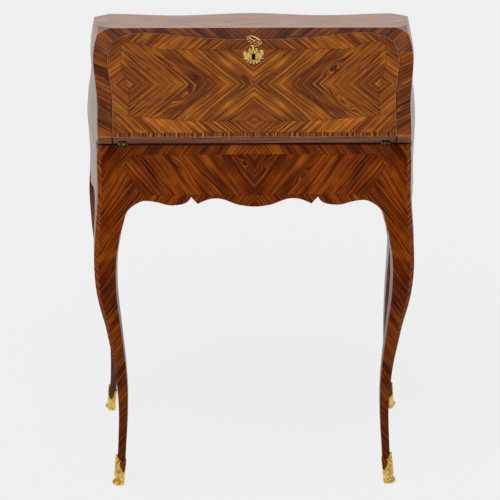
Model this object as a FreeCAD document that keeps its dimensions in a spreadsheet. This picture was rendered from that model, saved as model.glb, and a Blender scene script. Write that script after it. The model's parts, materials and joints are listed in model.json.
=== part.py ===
import FreeCAD, Part
import Sketcher
import math
import os
from types import SimpleNamespace

# Slant-front writing desk on cabriole legs, in the manner of the mid eighteenth century.
# Origin on the floor under the middle of the desk. X to the right in the front view, Y to
# the back, Z up. Pieces are drawn from the front face of the apron and then moved forward.

os.makedirs("parts", exist_ok=True)
doc = FreeCAD.newDocument("WritingDesk")
sheet = doc.addObject("Spreadsheet::Sheet", "Sizes")
Vec = FreeCAD.Vector

sizes = {
    # Sizes of the carcass
    "bed_height": 720,  # floor to the writing surface and the hinge pin
    "slope_angle": 48,  # degrees between the fall and the writing surface
    "slope_length": 247,  # outer face of the slope, lower arris to the edge of the top
    "fall_thick": 22,  # fall and frame, square to the slope
    "front_half": 298,  # half width at the front, at the writing surface
    "rear_half": 350,  # half width at the rear corner, at the writing surface
    "back_depth": 387,  # front face to the rear face at the ends of the back
    "back_hollow": 30,  # how far the back curves in between centre and end
    "back_swell": 9,  # how far the centre of the back stands out past its ends
    "side_bow": 4,  # outward bow of the side between its corners
    "shoulder_roll": 27,  # how far the sides draw in at the top, at the front
    "rear_taper": 21.5,  # how far the sides draw in at the top, at the rear
    "rear_cant_width": 27,  # canted rear corner, across
    "rear_cant_depth": 53,  # canted rear corner, front to back
    "corner_inset": 36,  # half width at the front to where its top corner starts to round
    "corner_run": 50,  # rounded front corner, along the edge of the top and past the side
    "corner_drop": 32,  # how far the rounded front corner reaches down the slope
    "corner_back": 62,  # how far the rounded front corner runs back into the top
    "side_thick": 20,  # side panels, at the front
    "back_thick": 16,  # back panel
    "back_gap": 2,  # clearance of the bed boards in front of the back panel
    "top_thick": 14,  # top board
    "apron_thick": 22,  # apron
    "apron_height": 122,  # writing surface to the middle of the apron's lower edge
    "edge_land": 1,  # flat of the apron below the open fall
    # Sizes of the legs and their gilt-bronze shoes
    "stile_width": 39,  # front stile, across
    "stile_depth": 40,  # front stile, front to back
    "rear_stile_width": 58,  # rear stile, across
    "rear_stile_depth": 56,  # rear stile, front to back
    "knee_reach": 14,  # how far the knee stands out to the side
    "knee_bulge": 14,  # how far the knee and the apron swell forward
    "cant_width": 9,  # canted outer arris of the front leg
    "sole_thick": 5,  # shoe under the end of the wood
    "shoe_height": 58,  # shoe, at its low inner edge
    "shoe_rise": 24,  # how much higher the shoe's leaf climbs at the outer arris
    "shoe_wall": 1.8,  # bronze of the shoe
    "toe_radius": 6.5,  # scroll at the toe
    "toe_width": 12,  # scroll at the toe, along its axis
    "shoe_nail_radius": 1.3,  # head of a shoe nail
    "shoe_nail_height": 50,  # floor to the shoe nails
    "nail_length": 6,  # shoe nail
    # Sizes of the fall, its hinges and its lock
    "stile_face": 28.5,  # frame beside the fall, across, at its lower end
    "fall_flare": 15,  # how far the opening widens at its broadest
    "fall_length": 221.5,  # opening along the slope, at the middle
    "fall_crest": 15.5,  # how far the opening's upper edge rises towards its corners
    "fall_gap": 1,  # clearance between the fall and its frame
    "hinge_gap": 0.3,  # clearance at the hinged edge
    "stop_width": 26,  # fall stop, across
    "stop_thick": 10,  # fall stop
    "leather_margin": 44.5,  # side edge of the opening to the leather
    "leather_length": 150,  # leather, along the slope
    "leather_start": 32,  # hinge pin to the leather
    "leather_thick": 1.2,  # leather
    "hinge_inset": 20.5,  # side edge of the opening to the middle of each hinge
    "hinge_width": 18,  # hinge along its pin
    "barrel_radius": 4,  # hinge knuckle
    "pin_radius": 1.6,  # hinge pin
    "pin_clear": 0.05,  # running clearance of the hinge pin
    "knuckle_gap": 0.15,  # gap between knuckles
    "leaf_length": 16,  # hinge leaf beyond its knuckle
    "leaf_thick": 1.8,  # hinge leaf
    "barrel_clear": 0.5,  # clearance round the knuckle
    "screw_radius": 1.2,  # wood screw
    "screw_head_radius": 2.4,  # head of a wood screw
    "screw_length": 9,  # wood screw
    "lock_half": 28,  # half width of the lock case
    "lock_height": 56,  # lock case, down from the fall's edge
    "lock_thick": 12,  # lock case
    "bolt_half": 10,  # half width of the bolt
    "bolt_length": 18,  # bolt
    "bolt_thick": 6,  # bolt
    "bolt_throw": 7,  # travel of the bolt
    "bolt_clear": 0.3,  # clearance round the bolt
    "strike_half": 22,  # half width of the strike plate
    "strike_thick": 1.5,  # strike plate
    "key_height": 181.6,  # hinge pin to the keyhole, up the slope
    "key_radius": 3.1,  # keyhole
    "key_slot": 9.3,  # keyhole below its round
    "escutcheon_half": 19.5,  # half width of the escutcheon
    "escutcheon_height": 67,  # escutcheon
    "escutcheon_drop": 21.6,  # keyhole to the lowest point of the escutcheon
    "escutcheon_thick": 2.5,  # escutcheon
    # Sizes of the writing bed and the well under it
    "bed_thick": 16,  # boards of the writing bed
    "well_half": 150,  # half width of the well, inside
    "well_front": 50,  # front face to the well, inside
    "well_depth": 72,  # well, under the bed boards
    "well_board": 10,  # side boards of the well
    "well_bottom_thick": 8,  # bottom board of the well
    "cover_thick": 7.5,  # sliding cover of the well
    "cover_tongue": 5,  # tongue of the cover
    "tongue_thick": 3.5,  # tongue of the cover, up and down
    "cover_stop": 29,  # open cover to the rear end of the bed boards
    "slide_gap": 0.5,  # running clearance of sliding pieces
    "run_gap": 0.3,  # clearance under a drawer
    "grip_radius": 9,  # finger hollow in the cover
    "grip_depth": 3,  # finger hollow in the cover, up and down
    # Sizes of the fitted interior
    "unit_gap": 6,  # room between the interior unit and the back panel
    "unit_setback": 34.7,  # interior unit behind the upper end of the slope
    "pilaster_width": 45,  # facing strips of the interior unit, across
    "unit_board": 6,  # boards of the interior unit
    "unit_back_thick": 5,  # back of the interior unit
    "pilaster_thick": 12,  # facing strips of the interior unit
    "drawer_space": 60,  # height of the drawer openings
    "niche_half": 87,  # half width of the middle opening
    "drawer_front_thick": 8,  # drawer fronts
    "drawer_side": 5,  # drawer sides and backs
    "drawer_bottom": 4,  # drawer bottoms
    "knob_radius": 5.5,  # drawer knob
    "knob_length": 11,  # drawer knob, out from the front
    # One overrun for every cut
    "overrun": 4,  # how far a cut runs past the piece
}

# Sizes that the sheet works out from those above
worked_sizes = {
    "side_depth": "back_depth - rear_cant_depth",
    "fall_half": "front_half - stile_face",
    "leather_half": "fall_half - leather_margin",
    "hinge_place": "fall_half - hinge_inset",
    "unit_front": "slope_length * cos(slope_angle * 1 deg) + unit_setback",
    "back_inside": "back_depth - back_hollow - back_thick",
    "unit_depth": "back_inside - unit_gap - unit_back_thick - unit_front",
    "side_splay": "(rear_half - front_half) / side_depth",
    "unit_half": "front_half + side_splay * unit_front - side_thick - pilaster_width",
    "well_length": "unit_front - well_front",
    "cover_travel": "back_inside - back_gap - unit_front - cover_stop",
}
for row, name in enumerate(sizes, 1):
    sheet.set(f"A{row}", name)
    sheet.set(f"B{row}", str(sizes[name]))
    sheet.setAlias(f"B{row}", name)
for row, name in enumerate(worked_sizes, 1 + len(sizes)):
    sheet.set(f"A{row}", name)
    sheet.set(f"B{row}", "=" + worked_sizes[name])
    sheet.setAlias(f"B{row}", name)
doc.recompute()
sz = SimpleNamespace(**{name: float(sheet.get(name)) for name in (*sizes, *worked_sizes)})

slope = math.radians(sz.slope_angle)
along = Vec(0, math.cos(slope), math.sin(slope))
outward = Vec(0, -math.sin(slope), math.cos(slope))
hinge_line = Vec(0, 0, sz.bed_height)
slope_place = FreeCAD.Placement(hinge_line, FreeCAD.Rotation(Vec(1, 0, 0), sz.slope_angle))
top_height = (hinge_line + outward * sz.fall_thick + along * sz.slope_length).z
top_under = top_height - sz.top_thick
top_front = (hinge_line + outward * sz.fall_thick + along * sz.slope_length).y
land = sz.bed_height - sz.fall_thick - sz.edge_land
far = sz.bed_height + sz.slope_length + sz.back_depth
parts = []


def keep(obj, label):
    """Name a finished piece; its label is the name of its file."""
    obj.Label = label
    parts.append(obj)
    return obj


def free_piece(label, shape, place=FreeCAD.Placement()):
    """A piece of free shape, in its place."""
    obj = doc.addObject("Part::Feature", label)
    obj.Shape = shape
    obj.Placement = to_middle.multiply(place).multiply(obj.Placement)
    return keep(obj, label)


def mirrored(shape):
    return shape.mirror(Vec(0, 0, 0), Vec(1, 0, 0))


def block(x0, x1, y0, y1, z0, z1):
    """Plain box between two corners, used to cut with."""
    return Part.makeBox(x1 - x0, y1 - y0, z1 - z0, Vec(x0, y0, z0))


def smooth(points):
    """Smooth edge through points."""
    curve = Part.BSplineCurve()
    curve.interpolate(points)
    return curve.toShape()


def prism(edges, direction):
    """Closed outline, filled and swept straight."""
    return Part.Face(Part.Wire(edges)).extrude(direction)


def polygon(points):
    return Part.makePolygon(points + [points[0]])


# Carcass outline
# Each level gives a height, then how far the side's front and rear edges stand out from
# their widths at the writing surface. Upper levels are shares of the height above it.
upper_level_shares = (0, 0.13, 0.25, 0.35, 0.46, 0.57, 0.70, 0.80, 0.90, 1.0, 1.07)
upper_front_shares = (0, -0.02, -0.10, -0.16, -0.14, -0.10, -0.08, -0.19, -0.48, -1.0, -1.42)
upper_rear_shares = (0, -0.09, -0.21, -0.37, -0.53, -0.57, -0.54, -0.63, -0.79, -1.0, -1.15)
# Lower levels are shares of the leg below the flat land; outward by shares of the knee reach
lower_level_shares = (1.0, 0.918, 0.868, 0.825, 0.782, 0.740)
lower_front_shares = (0, 0.11, 0.22, 0.46, 0.68, 0.86)
lower_rear_shares = (-0.04, -0.20, -0.11, 0.05, 0.18, 0.24)


def carcass_levels():
    """Heights from the ears of the aprons to just over the top, with both half widths."""
    rise = top_height - sz.bed_height
    rows = []
    for level, front, rear in zip(lower_level_shares, lower_front_shares, lower_rear_shares):
        rows.append((land * level, sz.front_half + sz.knee_reach * front,
                     sz.rear_half + sz.knee_reach * rear))
    rows.reverse()
    for level, front, rear in zip(upper_level_shares, upper_front_shares, upper_rear_shares):
        rows.append((sz.bed_height + rise * level, sz.front_half + sz.shoulder_roll * front,
                     sz.rear_half + sz.rear_taper * rear))
    return rows


def back_points():
    """Serpentine of the back from its right end to the centre."""
    half = sz.rear_half - sz.rear_stile_width
    x_shares = (1, 0.80, 0.60, 0.41, 0.20, 0)
    hollow_shares = (0, 0.50, 1.0, 0.87, 0.13, 0)
    swell_shares = (0, 0, 0, 0, 0, 1)
    rows = zip(x_shares, hollow_shares, swell_shares)
    return [Vec(half * x, sz.back_depth - sz.back_hollow * hollow + sz.back_swell * swell, 0)
            for x, hollow, swell in rows]


def back_line(shift):
    """The whole serpentine, left end to right end, moved towards the front by a distance."""
    right = [p - Vec(0, shift, 0) for p in back_points()]
    left = [Vec(-p.x, p.y, 0) for p in right]
    return left[:-1] + right[::-1]


side_bow_shares = (0, 0.8, 0.8, 0)


def side_points(front, rear):
    """One side in plan, from well before the front face to the canted corner."""
    splay = (rear - front) / sz.side_depth
    start = -sz.stile_depth
    points = [Vec(front + splay * start, start, 0), Vec(front + splay * sz.stile_depth, sz.stile_depth, 0)]
    run = sz.side_depth - sz.stile_depth
    for share, bow in zip((1 / 3, 2 / 3, 1), side_bow_shares[1:]):
        place = sz.stile_depth + run * share
        points.append(Vec(front + splay * place + sz.side_bow * bow, place, 0))
    return points


def carcass_section(height, front, rear):
    """Outline of the carcass at one height."""
    lift = Vec(0, 0, height)
    side = [p + lift for p in side_points(front, rear)]
    corner = Vec(rear - sz.rear_cant_width, sz.back_depth, height)
    end = back_points()[0] + lift
    back = [p + lift for p in back_line(0)][::-1]
    flip = [Vec(-p.x, p.y, p.z) for p in side]
    edges = [
        Part.makeLine(flip[0], side[0]),
        smooth(side),
        Part.makeLine(side[-1], corner),
        Part.makeLine(corner, end),
        smooth(back),
        Part.makeLine(back[-1], Vec(-corner.x, corner.y, height)),
        Part.makeLine(Vec(-corner.x, corner.y, height), flip[-1]),
        smooth(flip[::-1]),
    ]
    return Part.Wire(edges)


def in_slope(shape):
    """Move a shape drawn in the plane of the fall's inner face to its place."""
    moved = shape.copy()
    moved.Placement = slope_place.multiply(moved.Placement)
    return moved


# The rounded front corners run back into the top
rim_x = sz.front_half - sz.corner_inset
rim_u = sz.slope_length
corner_arc = Part.Arc(
    Vec(rim_x, rim_u, 0),
    Vec(rim_x + sz.corner_run * math.sin(math.pi / 4),
        rim_u - sz.corner_drop * (1 - math.cos(math.pi / 4)), 0),
    Vec(rim_x + sz.corner_run, rim_u - sz.corner_drop, 0)).toShape()
corner_out = sz.corner_run + sz.shoulder_roll + sz.fall_thick
corner_face = Part.Face(Part.Wire([
    corner_arc,
    Part.makeLine(Vec(rim_x + sz.corner_run, rim_u - sz.corner_drop, 0),
                  Vec(rim_x + corner_out, rim_u - sz.corner_drop, 0)),
    Part.makeLine(Vec(rim_x + corner_out, rim_u - sz.corner_drop, 0),
                  Vec(rim_x + corner_out, rim_u + sz.corner_drop, 0)),
    Part.makeLine(Vec(rim_x + corner_out, rim_u + sz.corner_drop, 0),
                  Vec(rim_x, rim_u + sz.corner_drop, 0)),
    Part.makeLine(Vec(rim_x, rim_u + sz.corner_drop, 0), Vec(rim_x, rim_u, 0)),
]))
corner_face.translate(Vec(0, 0, sz.fall_thick))
corner_path = Vec(sz.corner_inset / 2, sz.corner_back, sz.corner_drop / 4)
corner_start = in_slope(corner_face)
corner_start.translate(corner_path * (-0.2))
corner_cut = corner_start.extrude(corner_path * 1.6)

envelope = Part.makeLoft([carcass_section(*row) for row in carcass_levels()], True, False)
low = land * lower_level_shares[-1]
outer_slab = in_slope(block(-far, far, -far, far, sz.fall_thick, far))
slope_slab = in_slope(block(-far, far, -sz.overrun, far, 0, sz.fall_thick))
envelope = envelope.cut(block(-far, far, -far, far, top_height, far + top_height))
envelope = envelope.cut(outer_slab.fuse(in_slope(block(-far, far, -far, 0, 0, far))))
envelope = envelope.cut(corner_cut)
envelope = envelope.cut(mirrored(corner_cut))
behind_slope = envelope.cut(slope_slab)


def inner_half(place):
    """Half width inside the side panels, at a distance from the front face."""
    return sz.front_half - sz.side_thick + sz.side_splay * place


# Room for the two hinges in the top edges of the apron, the front legs and the bed boards
hinge_room = []
leaf_room = []
for side in (-1, 1):
    start = Vec(side * sz.hinge_place - sz.hinge_width / 2, 0, sz.bed_height)
    hinge_room.append(Part.makeCylinder(
        sz.barrel_radius + sz.barrel_clear, sz.hinge_width + 2 * sz.knuckle_gap,
        start - Vec(sz.knuckle_gap, 0, 0), Vec(1, 0, 0)))
    leaf_room.append(block(start.x, start.x + sz.hinge_width, 0, sz.barrel_radius + sz.leaf_length,
                           sz.bed_height - sz.leaf_thick, sz.bed_height + sz.overrun))
barrels = Part.makeCompound(hinge_room)
leaves = Part.makeCompound(leaf_room)

# Front legs, each one piece from the floor to the writing surface
leg_level_shares = lower_level_shares[:5] + (
    0.723, 0.674, 0.631, 0.588, 0.545, 0.502, 0.455, 0.409, 0.350,
    0.287, 0.237, 0.187, 0.143, 0.100, 0.050)
front_out_shares = lower_front_shares[:5] + (
    0.93, 1.0, 0.89, 0.64, 0.21, -0.29, -0.68, -1.10, -1.52,
    -1.76, -1.86, -1.80, -1.67, -1.52, -1.23)
front_width_shares = (
    1.0, 1.04, 1.08, 1.17, 1.22, 1.15, 1.10, 1.05, 0.98, 0.88,
    0.765, 0.685, 0.60, 0.51, 0.445, 0.385, 0.36, 0.345, 0.345, 0.375)
front_bulge_shares = (
    0, 0.42, 0.68, 0.83, 0.93, 1.0, 1.0, 0.90, 0.65, 0.35,
    -0.05, -0.48, -0.80, -1.12, -1.36, -1.45, -1.42, -1.25, -1.05, -0.68)
front_rear_shares = (
    1.0, 1.0, 1.0, 1.0, 1.0, 0.84, 0.74, 0.72, 0.74, 0.75,
    0.79, 0.84, 0.86, 0.88, 0.88, 0.86, 0.82, 0.75, 0.68, 0.60)
front_cant_shares = (
    1.0, 1.0, 1.0, 1.0, 1.0, 1.0, 1.0, 0.95, 0.90, 0.85,
    0.75, 0.70, 0.60, 0.52, 0.46, 0.42, 0.40, 0.38, 0.38, 0.40)
# How much of the side's outward slant each level of the leg follows
front_slant_shares = (
    1.0, 1.0, 1.0, 1.0, 1.0, 0.80, 0.65, 0.50, 0.50, 0.55,
    0.60, 0.65, 0.70, 0.75, 0.80, 0.80, 0.80, 0.80, 0.80, 0.80)
# Where the foot stands, past the last row of the tables
front_foot_shares = (-1.0, 0.40, -0.45, 0.52, 0.40, 0.80)


def front_rows():
    """Sections of the right front leg: height, outer, inner, front, rear, cant, slant."""
    splay = (sz.rear_half - sz.front_half) / sz.side_depth
    inner = sz.front_half - sz.stile_width
    rows = [(sz.bed_height, sz.front_half, inner, 0, sz.stile_depth, sz.cant_width, splay)]
    table = zip(leg_level_shares, front_out_shares, front_width_shares, front_bulge_shares,
                front_rear_shares, front_cant_shares, front_slant_shares)
    for level, out, width, bulge, rear, cant, slant in table:
        outer = sz.front_half + sz.knee_reach * out
        edge = outer - sz.stile_width * width
        if level >= lower_level_shares[4]:
            edge = inner
        rows.append((land * level, outer, edge, -sz.knee_bulge * bulge,
                     sz.stile_depth * rear, sz.cant_width * cant, splay * slant))
    out, width, bulge, rear, cant, slant = front_foot_shares
    outer = sz.front_half + sz.knee_reach * out
    rows.append((sz.sole_thick, outer, outer - sz.stile_width * width, -sz.knee_bulge * bulge,
                 sz.stile_depth * rear, sz.cant_width * cant, splay * slant))
    return rows


def front_section(row, grow=0):
    """One level of a front leg: a square with its outer front arris canted."""
    height, outer, inner, front, rear, cant, splay = row
    x0 = inner - grow
    y0 = front - grow
    y1 = rear + grow
    x_front = outer + splay * (front + cant) + grow
    x_rear = outer + splay * rear + grow
    return polygon([
        Vec(x0, y0, height),
        Vec(x_front - cant, y0, height),
        Vec(x_front, y0 + cant, height),
        Vec(x_rear, y1, height),
        Vec(x0, y1, height),
    ])


front_leg = Part.makeLoft([front_section(row) for row in front_rows()], True, False)
# The land in front is dead flat, because the open fall bears on it, and so are the stile's
# inner faces, where the apron and the side panel meet it
ear = land * lower_level_shares[4]
stile_inner = sz.front_half - sz.stile_width
front_leg = front_leg.cut(block(-far, far, -far, 0, land, far + land))
front_leg = front_leg.cut(block(-far, far, -far, far, sz.bed_height, far + sz.bed_height))
front_leg = front_leg.cut(block(0, stile_inner, -far, far, ear, far))
front_leg = front_leg.cut(block(0, far, sz.stile_depth, far, ear, far))
front_leg = front_leg.cut(barrels)

# Rear legs, each one piece from the floor to the underside of the top
rear_out_shares = lower_rear_shares[:5] + (
    0.21, 0.14, 0.0, -0.25, -0.57, -0.93, -1.29, -1.57, -1.86,
    -2.04, -2.07, -2.04, -1.93, -1.75, -1.43)
rear_width_shares = (
    1.0, 1.0, 1.0, 1.0, 0.905, 0.81, 0.76, 0.715, 0.664, 0.603,
    0.543, 0.483, 0.431, 0.371, 0.319, 0.284, 0.262, 0.252, 0.252, 0.259)
rear_bulge_shares = (
    0, 0, 0, 0, 0.21, 0.50, 0.57, 0.54, 0.36, 0.11,
    -0.14, -0.43, -0.61, -0.77, -0.82, -0.74, -0.55, -0.28, 0.08, 0.55)
rear_depth_shares = (
    1.0, 1.0, 1.0, 1.0, 1.0, 0.875, 0.82, 0.777, 0.714, 0.652,
    0.58, 0.518, 0.455, 0.393, 0.339, 0.295, 0.277, 0.262, 0.262, 0.268)
rear_cant_x_shares = (
    1.0, 1.0, 1.0, 1.0, 0.89, 0.74, 0.67, 0.59, 0.52, 0.44,
    0.37, 0.33, 0.30, 0.26, 0.22, 0.22, 0.20, 0.20, 0.20, 0.22)
rear_cant_y_shares = (
    1.0, 1.0, 1.0, 1.0, 0.83, 0.57, 0.45, 0.38, 0.32, 0.26,
    0.226, 0.19, 0.17, 0.15, 0.13, 0.113, 0.104, 0.104, 0.104, 0.113)
rear_foot_shares = (-1.21, 0.267, 0.85, 0.277, 0.22, 0.113)


def rear_rows():
    """Sections of the right rear leg: height, outer, inner, front, back, cant across and deep."""
    inner = sz.rear_half - sz.rear_stile_width
    front = sz.back_depth - sz.rear_stile_depth
    rows = []
    for height, unused, rear in carcass_levels():
        if height >= sz.bed_height:
            rows.append((height, rear, inner, front, sz.back_depth,
                         sz.rear_cant_width, sz.rear_cant_depth))
    rows.reverse()
    table = zip(leg_level_shares + (None,), rear_out_shares + rear_foot_shares[:1],
                rear_width_shares + rear_foot_shares[1:2], rear_bulge_shares + rear_foot_shares[2:3],
                rear_depth_shares + rear_foot_shares[3:4], rear_cant_x_shares + rear_foot_shares[4:5],
                rear_cant_y_shares + rear_foot_shares[5:6])
    for level, out, width, bulge, depth, cant_x, cant_y in table:
        height = sz.sole_thick if level is None else land * level
        outer = sz.rear_half + sz.knee_reach * out
        edge = outer - sz.rear_stile_width * width
        if height >= land * lower_level_shares[4]:
            edge = inner
        back = sz.back_depth + sz.knee_bulge * bulge
        rows.append((height, outer, edge, back - sz.rear_stile_depth * depth, back,
                     sz.rear_cant_width * cant_x, sz.rear_cant_depth * cant_y))
    return rows


def rear_section(row, grow=0):
    """One level of a rear leg: a square with its outer rear arris canted."""
    height, outer, inner, front, back, cant_x, cant_y = row
    return polygon([
        Vec(inner - grow, front - grow, height),
        Vec(outer + grow, front - grow, height),
        Vec(outer + grow, back + grow - cant_y, height),
        Vec(outer + grow - cant_x, back + grow, height),
        Vec(inner - grow, back + grow, height),
    ])


rear_leg = Part.makeLoft([rear_section(row) for row in rear_rows()], True, False)
rear_leg = rear_leg.cut(block(-far, far, -far, far, top_under, far + top_under))
rear_inner = sz.rear_half - sz.rear_stile_width
side_rear = sz.back_depth - sz.rear_stile_depth
rear_leg = rear_leg.cut(block(0, rear_inner, 0, far, ear, far))
rear_leg = rear_leg.cut(block(0, far, 0, side_rear, ear, far))


# Gilt-bronze shoes: a cup round the foot with a leaf climbing the outer arris and a toe scroll
def shoe(rows, section, leg, toe, turn):
    """Cup over the lowest sections of a leg; toe is the scroll's middle, turn its compass."""
    last = rows[-1]
    floor_row = (0,) + tuple(last[1:])
    used = [row for row in rows if row[0] <= (sz.shoe_height + sz.shoe_rise) * 1.5]
    cup = Part.makeLoft([section(row, sz.shoe_wall) for row in used + [floor_row]], True, False)
    heel = Vec(toe.x, toe.y, 0)
    lean = math.degrees(math.atan2(sz.shoe_rise, sz.stile_depth / 2))
    roof = block(-far, far, -far, far, 0, far)
    facing = Vec(math.cos(math.radians(turn)), math.sin(math.radians(turn)), 0)
    hinge = facing.cross(Vec(0, 0, 1))
    roof.rotate(Vec(0, 0, 0), hinge, lean)
    roof.translate(heel - facing * (sz.stile_depth / 2) + Vec(0, 0, sz.shoe_height))
    cup = cup.cut(roof)
    spin = Part.makeCylinder(sz.toe_radius, sz.toe_width, Vec(0, 0, 0), hinge)
    spin.translate(heel + Vec(0, 0, sz.toe_radius) - hinge * (sz.toe_width / 2))
    return cup.fuse(spin).removeSplitter().cut(leg)


front_foot = front_rows()[-1]
front_toe = Vec(front_foot[1] - sz.toe_radius / 2, front_foot[3] + sz.toe_radius / 3, 0)
front_shoe = shoe(front_rows(), front_section, front_leg, front_toe, -45)
rear_foot = rear_rows()[-1]
rear_toe = Vec(rear_foot[1] - sz.toe_radius / 2, rear_foot[4] - sz.toe_radius / 3, 0)
rear_shoe = shoe(rear_rows(), rear_section, rear_leg, rear_toe, 45)


def level_at(rows, height, column):
    """A leg's size at a height, between its two nearest sections."""
    for upper, lower in zip(rows, rows[1:]):
        if upper[0] >= height >= lower[0]:
            part = (height - lower[0]) / (upper[0] - lower[0])
            return lower[column] + (upper[column] - lower[column]) * part
    return rows[-1][column]


# Two nails hold each shoe from its inner side
nails = []
for rows, y_low, y_high in ((front_rows(), 3, 4), (rear_rows(), 3, 4)):
    for step in (0, 1):
        height = sz.shoe_nail_height - step * sz.shoe_nail_radius * 6
        x = level_at(rows, height, 2) - sz.shoe_wall
        y = (level_at(rows, height, y_low) + level_at(rows, height, y_high)) / 2
        sunk = sz.shoe_nail_radius / 3
        start = Vec(x - sz.shoe_nail_radius / 2, y, height)
        head = Part.makeCylinder(sz.shoe_nail_radius, sz.shoe_nail_radius / 2 + sunk, start, Vec(1, 0, 0))
        shank = Part.makeCylinder(sz.shoe_nail_radius / 2, sz.nail_length, start, Vec(1, 0, 0))
        nails.append(head.fuse(shank))
for pin in nails[:2]:
    front_leg = front_leg.cut(pin)
    front_shoe = front_shoe.cut(pin)
for pin in nails[2:]:
    rear_leg = rear_leg.cut(pin)
    rear_shoe = rear_shoe.cut(pin)

# The middle of the desk, halfway between the lower arris of the slope frame and the rear
# toes. It is worked out in the sheet, and every piece moves forward by it.
middle_row = str(len(sizes) + len(worked_sizes) + 1)
middle_cell = "B" + middle_row
middle_sum = "back_depth + knee_bulge * %s - toe_radius / 3" % rear_foot_shares[2]
middle_sum += " + (toe_radius + toe_width / 2) * cos(45 deg)"
middle_sum += " - fall_thick * sin(slope_angle * 1 deg)"
sheet.set("A" + middle_row, "front face of the apron to the middle, from the sizes above")
sheet.set(middle_cell, "=(" + middle_sum + ") / 2")
sheet.setAlias(middle_cell, "middle")
doc.recompute()
middle = float(sheet.get("middle"))
to_middle = FreeCAD.Placement(Vec(0, -middle, 0), FreeCAD.Rotation())
for label, piece in (("front_leg", front_leg), ("rear_leg", rear_leg),
                     ("sabot_front", front_shoe), ("sabot_rear", rear_shoe)):
    free_piece(label + "_right", piece)
    free_piece(label + "_left", mirrored(piece))
free_piece("sabot_nails", Part.makeCompound(nails + [mirrored(nail) for nail in nails]))

# Front apron: a swelling section with a shaped lower edge, let in between the front legs
apron_half = sz.front_half - sz.stile_width
apron_x_shares = (0, 0.08, 0.135, 0.22, 0.29, 0.34, 0.420)
apron_drop_shares = (1.0, 0.985, 0.96, 0.89, 0.868, 0.884, 0.955)
apron_x2_shares = (0.469, 0.515, 0.58, 0.64, 0.70, 0.77, 0.82, 0.87, 0.92, 0.946, 0.963, 0.985, 1.0)
apron_drop2_shares = (0.845, 0.944, 0.972, 0.972, 0.936, 0.908, 0.904, 0.944, 1.02, 1.09, 1.19, 1.36, 1.45)


def edge_points(x_shares, drop_shares, length):
    return [(length * x, sz.bed_height - sz.apron_height * drop) for x, drop in zip(x_shares, drop_shares)]


def apron_section():
    """Front to back section of the apron: flat land, then the swell."""
    levels = leg_level_shares[:6]
    swell = [Vec(0, -sz.knee_bulge * bulge, land * level)
             for level, bulge in zip(levels, front_bulge_shares)]
    swell.append(swell[-1] - Vec(0, 0, sz.edge_land))
    curve = Part.BSplineCurve()
    curve.interpolate(swell, InitialTangent=Vec(0, 0, -1), FinalTangent=Vec(0, 0, -1))
    start = Vec(0, 0, sz.bed_height)
    end = swell[-1]
    return [
        Part.makeLine(start, swell[0]),
        curve.toShape(),
        Part.makeLine(end, Vec(0, sz.apron_thick, end.z)),
        Part.makeLine(Vec(0, sz.apron_thick, end.z), Vec(0, sz.apron_thick, sz.bed_height)),
        Part.makeLine(Vec(0, sz.apron_thick, sz.bed_height), start),
    ]


def shaped_edge(inner, outer):
    """Edges of the lower outline in the front plane, from the left end to the right end."""
    def run(points, sign):
        return [Vec(sign * x, -far, z) for x, z in points]
    tip = Vec(outer[0][0], -far, outer[0][1])
    notch = Vec(inner[-1][0], -far, inner[-1][1])
    middle = run(inner, -1)[::-1] + run(inner, 1)[1:]
    right = run(outer, 1)
    left = run(outer, -1)[::-1]
    return [smooth(left), Part.makeLine(Vec(-tip.x, -far, tip.z), Vec(-notch.x, -far, notch.z)),
            smooth(middle), Part.makeLine(notch, tip), smooth(right)], left[0], right[-1]


edges, left_end, right_end = shaped_edge(edge_points(apron_x_shares, apron_drop_shares, apron_half),
                                         edge_points(apron_x2_shares, apron_drop2_shares, apron_half))
floor_left = Vec(left_end.x, -far, 0)
floor_right = Vec(right_end.x, -far, 0)
edges += [Part.makeLine(right_end, floor_right), Part.makeLine(floor_right, floor_left),
          Part.makeLine(floor_left, left_end)]
under_apron = prism(edges, Vec(0, 2 * far, 0))
apron = prism(apron_section(), Vec(2 * apron_half, 0, 0))
apron.translate(Vec(-apron_half, 0, 0))
apron = apron.cut(under_apron)

def screw(head_at, direction):
    """Countersunk wood screw, driven along a direction from the face it is flush with."""
    drop = sz.screw_head_radius - sz.screw_radius
    head = Part.makeCone(sz.screw_head_radius, sz.screw_radius, drop, head_at, direction)
    shank = Part.makeCylinder(sz.screw_radius, sz.screw_length - drop, head_at + direction * drop, direction)
    return head.fuse(shank)


screw_spot = sz.barrel_radius + sz.leaf_length * 0.55
bed_screws = []
fall_screws = []
for side in (-1, 1):
    for hand in (-1, 1):
        x = side * sz.hinge_place + hand * sz.hinge_width / 4
        bed_screws.append(screw(Vec(x, screw_spot, sz.bed_height), Vec(0, 0, -1)))
        fall_screws.append(screw(Vec(x, screw_spot, 0), Vec(0, 0, 1)))
bed_screw_set = Part.makeCompound(bed_screws)
fall_screw_set = in_slope(Part.makeCompound(fall_screws))
apron = apron.cut(barrels).cut(leaves).cut(bed_screw_set)
free_piece("front_apron", apron)

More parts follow.
